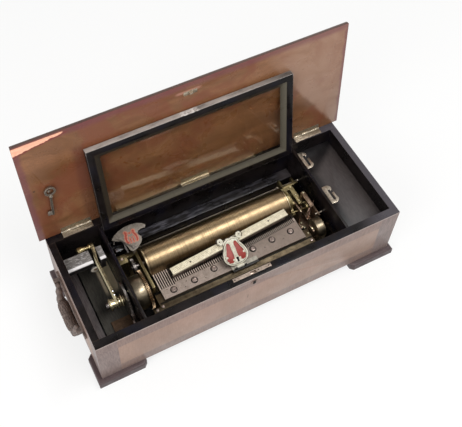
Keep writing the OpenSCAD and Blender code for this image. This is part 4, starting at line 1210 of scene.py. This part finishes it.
lyre = [plate("lyre_frame", [LYRE_OUTLINE, LOBE, mirrored(LOBE)], 1.5, on_lyre(0.8)),
        wire("lyre_edge", echoed(0.955, 0.965, 3, 3.4, 2.05), 0.7, True, 2, LYRE_PLACE)]
for side in (-1, 1):
    lobe_line = [(side * x, y, 2) for x, y in LOBE]
    lyre.append(wire(f"lyre_lobe_edge_{side + 1}", lobe_line, 0.45, True, 2, LYRE_PLACE))
    curl = []
    for number in range(15):
        turn = math.radians(-110 + number * 34)
        reach = 5.2 - number * 0.31
        curl.append((side * (SCROLL_X - reach * math.cos(turn)), SCROLL_Y + reach * math.sin(turn), 1.9,
                     1.25 - number * 0.035))
    lyre.append(wire(f"lyre_scroll_{side + 1}", curl, 1.6, False, 3, LYRE_PLACE))
    lyre.append(lyre_bead(f"lyre_eye_{side + 1}", (side * 18.6, SCROLL_Y, 0.9),
                          [(0, 2.7), (1.4, 2.6), (2.2, 1.2)], 16))
    for number, (x, y) in enumerate(BEADS):
        lyre.append(lyre_bead(f"lyre_bead_{side + 1}_{number}", (side * x * 0.9, y * 0.94 + 1.6, 2),
                              [(0, 1), (0.35, 0.95), (0.6, 0.5)], 10))
    for number, (x, y) in enumerate(SCALLOPS):
        lyre.append(lyre_bead(f"lyre_scallop_{side + 1}_{number}", (side * x, y, 0.6),
                              [(0, 2.1), (1, 2), (1.5, 1.1)], 12))
strip = [(-2.9, 15), (-2.5, 44), (2.5, 44), (2.9, 15)]
lyre.append(plate("lyre_strip", [strip], 0.5, on_lyre(2.1), 0.1, False))
for number, x in enumerate((-2.1, -0.7, 0.7, 2.1)):
    points = [(x, 15.5, 2.55), (x * 0.97, 30, 2.55), (x * 0.93, 43.5, 2.55)]
    lyre.append(wire(f"lyre_string_{number}", points, 0.33, False, 1, LYRE_PLACE))
lyre += [
    lyre_bead("lyre_knob", (-4.4, 8.2, 2), [(0, 1.9), (0.7, 1.8), (1.2, 1)], 16),
    squared("lyre_arm", (-4.6, -57, 83.6), (8.6, -49.9, 85.9)),
    squared("lyre_arm_rise", (-4.6, -54.4, 85.5), (8.6, -49.9, 87.5)),
    turned("lyre_knuckle", (-4.6, -57, 84.5), (1, 0, 0), [(0, 2.1), (0.3, 2.4), (12.9, 2.4), (13.2, 2.1)],
           20),
    turned("lyre_pin", (-8.8, -57, 84.5), (1, 0, 0), [(0, 1), (0.2, 1.2), (21.4, 1.2), (21.6, 1)], 14),
]
fitted(join(lyre, "lyre_pierced"), "zither_lyre", CREAM, "zither_lyre")
# a dark plate larger than the lyre, behind it: painted shadow outline
shadow_backing = plate("lyre_backing", [echoed(1.06, 1.045, 26, 26)], 0.5, on_lyre(-0.55), 0.1)
fitted(shadow_backing, "zither_lyre", DARK_RELIEF_AND_SHADE)
grooves = [wire("lyre_groove", echoed(0.865, 0.9, 3, 4.6, 2.18), 0.42, True, 1, LYRE_PLACE)]
for side in (-1, 1):
    shade_ring = [(side * (SCROLL_X + 5.9 * math.cos(turn / 3)), SCROLL_Y + 5.9 * math.sin(turn / 3), 0.5)
                  for turn in range(19)]
    grooves.append(wire(f"lyre_scroll_shade_{side + 1}", shade_ring, 0.55, True, 1, LYRE_PLACE))
    grooves.append(lyre_bead(f"lyre_scroll_pit_{side + 1}", (side * 18.6, SCROLL_Y, 3),
                             [(0, 1.2), (0.3, 1.2), (0.4, 0.8)], 12))
fitted(join(grooves, "lyre_grooves"), "zither_lyre", DARK_RELIEF_AND_SHADE)
fitted(plate("lyre_red_ground", [echoed(0.93, 0.93, 3, 3.6)], 0.7, LYRE_PLACE, 0.1), "zither_lyre", RED)
slot_place = LYRE_PLACE @ Matrix.Translation(mm(0.6, 0, 2.25))
fitted(plate("lyre_slot_shade", [SLOT_SHAPE], 0.3, slot_place, 0.05), "zither_lyre", BLACK_AND_SHADE)
screw_set("bar_screws", "zither_bar", BLACK_AND_SHADE, ((-75.4, -21.5, BAR_TOP), (81.1, -9.4, BAR_TOP)),
          [(-1, 1.5), (0.1, 1.5), (0.35, 1.3), (0.45, 0.7)], (35, 95), (1.6, 0.45, 0.3))

# Tune plate: a red lyre laid on it, and the blued plate and dark finger beside it
TUNE_TOP = 108.3
TUNE_MARK = Matrix.Translation(mm(-146, 64.5, TUNE_TOP - 0.12)) @ Matrix.Rotation(math.radians(-4), 4, "Z")
MARK_SIDE = [(-9.5, -12.5), (-12.2, -5), (-11.8, 1), (-9.8, 6), (-10.6, 12), (-6.4, 14.2), (-3, 10.5),
             (-4.2, 5), (-5.8, -1), (-6.4, -7), (-4.8, -11.5)]
MARK_BARS = ([(-4, -13), (-4.3, 1), (-0.8, 1), (-0.8, -13)], [(0.8, -13), (0.8, 1), (4.3, 1), (4, -13)],
             [(-2.4, 5.4), (-2.4, 9.6), (2.4, 9.6), (2.4, 5.4)])
FINGER = [(-160, 46, 94), (-161, 55, 99, 1.3), (-160.5, 64, 103, 1.2), (-166, 72, 104, 1),
          (-174, 72, 102.5, 0.8), (-177, 67, 101, 0.6)]
marks = [plate(f"tune_mark_{number}", [shape], 0.24, TUNE_MARK, 0.05, number < 2)
         for number, shape in enumerate((MARK_SIDE, mirrored(MARK_SIDE), *MARK_BARS))]
fitted(join(marks, "tune_mark"), "tune_plate", RED)
fitted(squared("blued_plate", (-178, 55, 93.2), (-163, 65, 94.6)), "main_bridge", BRIGHT_STEEL)
fitted(wire("indicator_finger", FINGER, 1.7), "main_bridge", DARK_STEEL)

# End handles: cast bails with a fluted, beaded grip, and the screws of their plates
GRIP_HALF = [(1.4, 8.9), (2.8, 8), (4.5, 8.9), (12, 8.9), (20, 8.7), (24, 7.9), (27, 6.8), (28.6, 5.4),
             (30, 6.4), (31.5, 6.2), (33.5, 4.6)]
GRIP = mirrored(GRIP_HALF) + GRIP_HALF
GRIP_X, GRIP_Z, PIVOT_X, PIVOT_Z, ARM_Y = 293, 59, 289, 92, 41.5
GRIP_SIDES = 24
EYE = [(0, 2.4), (0.8, 3.9), (2.6, 4.4), (6.2, 4.4), (7.6, 3.6), (7.8, 2.4), (14.6, 2.4)]
KNOB = [(0, 4.6), (1.5, 5.6), (4, 5.6), (5.6, 4.2), (6.4, 2)]
LEAF = [(-38, -287.5), (-30, -283.2), (-18, -281.2), (0, -280.7), (18, -281.2), (30, -283.2), (38, -287.5),
        (30, -291), (-30, -291)]
LEAF_TURN = Matrix(((0, 1, 0, 0), (1, 0, 0, 0), (0, 0, -1, 0), (0, 0, 0, 1)))
LEAF_PLACE = Matrix.Translation(mm(0, 0, 56.5)) @ LEAF_TURN


def fluted_grip():
    """The turned grip with every other strip of its bulge sunk on a slant."""
    piece = turned("bail_grip", (-GRIP_X, 0, GRIP_Z), (0, 1, 0), GRIP, GRIP_SIDES)

    def flute(face):
        reach = (face.calc_center_median() - mm(-GRIP_X, 0, GRIP_Z)) / MM
        if abs(face.normal.y) > 0.5 or not 3.5 < abs(reach.y) < 26:
            return False
        turn = math.degrees(math.atan2(reach.z, reach.x)) + abs(reach.y) * 2.2
        return int(turn // (360 / GRIP_SIDES)) % 2 == 0

    open_edit(piece)
    pick(piece, "faces", flute)
    bpy.ops.mesh.extrude_faces_move(MESH_OT_extrude_faces_indiv={},
                                    TRANSFORM_OT_shrink_fatten={"value": -0.9 * MM})
    bpy.ops.transform.resize(value=(0.99, 0.99, 0.99))
    close_edit()
    face_out(piece)
    smooth(piece, 40)
    return piece


bail = [fluted_grip()]
for side in (-1, 1):
    arm = [(-PIVOT_X, side * ARM_Y, PIVOT_Z + 1, 1), (-PIVOT_X - 0.8, side * 41, 86, 0.85),
           (-290.6, side * 38.5, 78, 1.45), (-291.4, side * 36, 69, 1.3), (-GRIP_X, side * 33, 60, 1.6)]
    bail.append(wire(f"bail_arm_{side + 1}", arm, 4, False, 4))
    bail.append(turned(f"bail_eye_{side + 1}", (-PIVOT_X, side * 37.8, PIVOT_Z), (0, side, 0), EYE, 20))
    bail.append(turned(f"bail_knob_{side + 1}", (-GRIP_X, side * 32.5, GRIP_Z), (0, side, 0), KNOB, 20))
bail.append(plate("bail_leaf", [LEAF], 3.2, LEAF_PLACE, 0.6))
left_bail = join(bail, "bail_cast_left")
right_bail = copied(left_bail, Matrix.Scale(-1, 4, Vector((1, 0, 0))), "bail_cast_right")
fitted(left_bail, "handle_bail_left", IRON, "handle_bail_left")
fitted(right_bail, "handle_bail_right", IRON, "handle_bail_right")
for end, side in (("left", -1), ("right", 1)):
    screw_set(f"plate_screws_{end}", "handle_plate_left", DARK_STEEL,
              [(side * 284, y, 92) for y in (-59, 59)], [(-0.6, 1.8), (0.15, 1.9), (0.55, 1.6), (0.7, 0.8)],
              (25, 95), (2.2, 0.5, 0.4), (side, 0, 0))

# Hinges: countersunk screws of the leaves on the case
HINGES_X = (-224.5, -3.5, 224)
screw_set("hinge_screws", "hinge_leaves", DARK_STEEL,
          [(x + offset, 99.5, RIM_Z - 0.2) for x in HINGES_X for offset in (-18, 0, 18)],
          [(-0.6, 1.5), (0.02, 1.5), (0.12, 1.3), (0.15, 0.7)], (0, 40, 80) * 3, (1.8, 0.4, 0.3))

# Lock: bores of the flange with black heads sunk in them as painted shade, and the dark keyhole
KEYHOLE = [(-3, 2.6), (0, 4.8), (3, 2.6), (2.2, -0.2), (2.5, -5.2), (-2.5, -5.2), (-2.2, -0.2)]
KEYHOLE_PLACE = Matrix.Translation(mm(-3, -110.3, 121.5)) @ Matrix.Rotation(math.radians(90), 4, "X")
LOCK_Y = -98.7
lock_flange = bpy.data.objects["lock_plate_eased"]
lock_dots = []
for number, x in enumerate((-33.6, 28.6, 9.5)):
    carved(lock_flange, turned("lock_bore", (x, LOCK_Y, RIM_Z - 0.5), UP, [(0, 1.4), (1, 1.4)], 16))
    # black heads at the bottom of the bores: painted shade of the holes
    lock_dots.append(turned(f"lock_dot_{number}", (x, LOCK_Y, RIM_Z - 0.48), UP,
                            [(0, 1.2), (0.2, 1.2), (0.3, 0.8)], 14))
smooth(lock_flange)
fitted(join(lock_dots, "lock_screw_holes"), "lock_plate", BLACK_AND_SHADE)
shade_place = KEYHOLE_PLACE @ Matrix.Translation(mm(0, 0, 0.05))
fitted(plate("keyhole_shade", [KEYHOLE], 0.2, shade_place, 0.04), "escutcheon", BLACK_AND_SHADE)

# Winding end: nut on the arbor, grip, pad on the rest and bare wood on the floor
NUT = [(0.1, 3), (0.4, 4.4), (2, 4.8), (2.6, 6.9), (4.3, 6.9)]
PEAR = [(0, 2.4), (0.7, 4.4), (2.4, 5.9), (5.2, 6.3), (8.8, 5.9), (12.5, 4.8), (15.8, 3.7), (18.4, 3.2),
        (20.2, 3.4), (21.2, 4.9), (22.8, 5.4), (24.2, 5), (24.6, 3.6)]
PAD = [(0, 7.7), (0.2, 7.9), (0.35, 7.6), (0.4, 3.2), (0.15, 3)]
PAD_CORE = [(0, 2.9), (0.5, 2.9), (0.7, 2)]
fitted(turned("arbor_nut", (-231.5, BARREL_Y, SHAFT_Z), (1, 0, 0), NUT, 6), "barrel_arbor", BRIGHT_STEEL)
grip = turned("grip_pear", (-241.6, 70, 121), (1, 0, 0), PEAR)
fitted(grip, "winding_grip", POLISHED_BRASS, "winding_grip")
fitted(turned("rest_pad", (-223, 36.1, 103), (0, -1, 0), PAD, 28), "lever_rest", PAD_FELT)
fitted(turned("rest_pad_core", (-223, 36.05, 103), (0, -1, 0), PAD_CORE, 20), "lever_rest", PATCH_WOOD)
fitted(squared("floor_block", (-231, -58, 36), (-197, -34, 39.5), 0.8), "left_floor", PATCH_WOOD)

# Drive end: knob on the change rod, nut, screws, pins and rivets of the works
CHANGE_KNOB = [(0, 2.6), (0.8, 4.1), (3.2, 4.3), (4.1, 3), (4.5, 2.3)]
BED_NUT = [(0, 4.2), (2.6, 4.3), (3.4, 3.8), (3.6, 2.2), (5.2, 2.1), (5.5, 1.4)]
GOVERNOR_SCREWS = ((151.5, -45, 80), (163.5, 12, 108), (150.5, -20, 50), (172.5, -46, 50), (172.5, 8, 50),
                   (150.5, 8, 50), (155.2, 40.5, 94), (155.2, 8, 94), (155.2, 22, 94))
WORKS_PINS = ((148.2, -9, 89), (143, -24, 73), (143, -35, 73), (143, -47, 73))
PARTITION_PIN = ((-191.4, -27.5, 108),)
BRIDGE_SCREWS = ((-175.5, 37.5, 95), (-150, -8, 73), (-157, -64.5, 73), (-146, -62, 73), (141, -62, 73))
PIN_HEAD = [(-0.5, 1.5), (0.3, 1.7), (1, 1.5), (1.5, 0.7)]
fitted(turned("change_knob", (136.5, 56, 78), (1, 0, 0), CHANGE_KNOB, 20), "change_lever", NICKEL)
fitted(turned("bed_nut", (173.8, -48.6, 50), UP, BED_NUT, 6), "bedplate", NICKEL)
screw_set("governor_screws", "governor_frame", DOT_BRASS, GOVERNOR_SCREWS,
          [(-0.6, 1.7), (0.3, 1.9), (0.9, 1.7), (1.15, 0.9)], range(0, 315, 35), (2.2, 0.5, 0.5))
pins = turned_set(WORKS_PINS, PIN_HEAD, 14) + turned_set(PARTITION_PIN, PIN_HEAD, 14, (-1, 0, 0))
fitted(join(pins, "works_pins"), "governor_frame", DOT_BRASS)
rivets = turned_set(((-212.2, -9.5, 94.4), (-212.2, -15.5, 91.9)), PIN_HEAD, 14, (0, -0.4, 0.917))
fitted(join(rivets, "lever_rivets"), "winding_lever", BRIGHT_STEEL)
screw_set("bridge_screws", "main_bridge", SCREW_STEEL, BRIDGE_SCREWS,
          [(-0.6, 2.2), (0.3, 2.5), (1.2, 2.3), (1.5, 1.2)], range(20, 270, 50), (2.8, 0.6, 0.6))


# Ground and studio light
def ground_finish():
    """White ground, which camera, glossy and transmitted rays see as glowing."""
    bench = new_finish("white ground")
    nodes = bench.tree.nodes
    nodes.remove(nodes["Principled BSDF"])
    rays = bench.outputs(bench.node("ShaderNodeLightPath"))
    seen = rays.is_camera_ray.most(rays.is_glossy_ray).most(rays.is_transmission_ray)
    paper = bench.node("ShaderNodeBsdfDiffuse", {"Color": (0.86, 0.86, 0.86)}).outputs[0]
    white = bench.node("ShaderNodeEmission", {"Color": (1, 1, 0.995), "Strength": 1.02}).outputs[0]
    blend = bench.node("ShaderNodeMixShader", {0: seen * 0.72, 1: paper, 2: white}).outputs[0]
    bench.feed(nodes["Material Output"].inputs["Surface"], blend)
    return bench.finish


GROUND_SIZE, GROUND_DROP = 24, 0.5
bpy.ops.object.select_all(action="DESELECT")
bpy.ops.mesh.primitive_plane_add(size=GROUND_SIZE, location=mm(0, 0, -GROUND_DROP))
ground = named("ground")
coat(ground, ground_finish())


def studio_world():
    """White round the horizon and darker overhead, as in a lit studio with a dark ceiling."""
    world = bpy.data.worlds.new("studio")
    bpy.context.scene.world = world
    world.use_nodes = True
    bench = Bench(world.node_tree)
    height = bench.apart(bench.node("ShaderNodeTexCoord").outputs["Generated"])[2]
    tone = bench.coats((0, 0, 0), (height.span(0.8, 0.92, 1, 0.25), (1, 1, 1)))
    shell = bench.tree.nodes["Background"].inputs
    bench.feed(shell["Color"], tone)
    bench.feed(shell["Strength"], 0.72)


def soft_lamp(name, place, aim, size, watts):
    bpy.ops.object.light_add(type="AREA", location=mm(*place))
    lamp = bpy.context.active_object
    lamp.name = name
    lamp.data.shape = "RECTANGLE"
    lamp.data.size, lamp.data.size_y = size
    lamp.data.energy = watts
    lamp.rotation_euler = (mm(*aim) - mm(*place)).to_track_quat("-Z", "Y").to_euler()


studio_world()
soft_lamp("overhead softbox", (420, -420, 1680), (0, 0, 90), (1.3, 0.35), 15)
soft_lamp("left window", (-1700, -900, 1500), (0, 0, 100), (1.2, 1.2), 20)
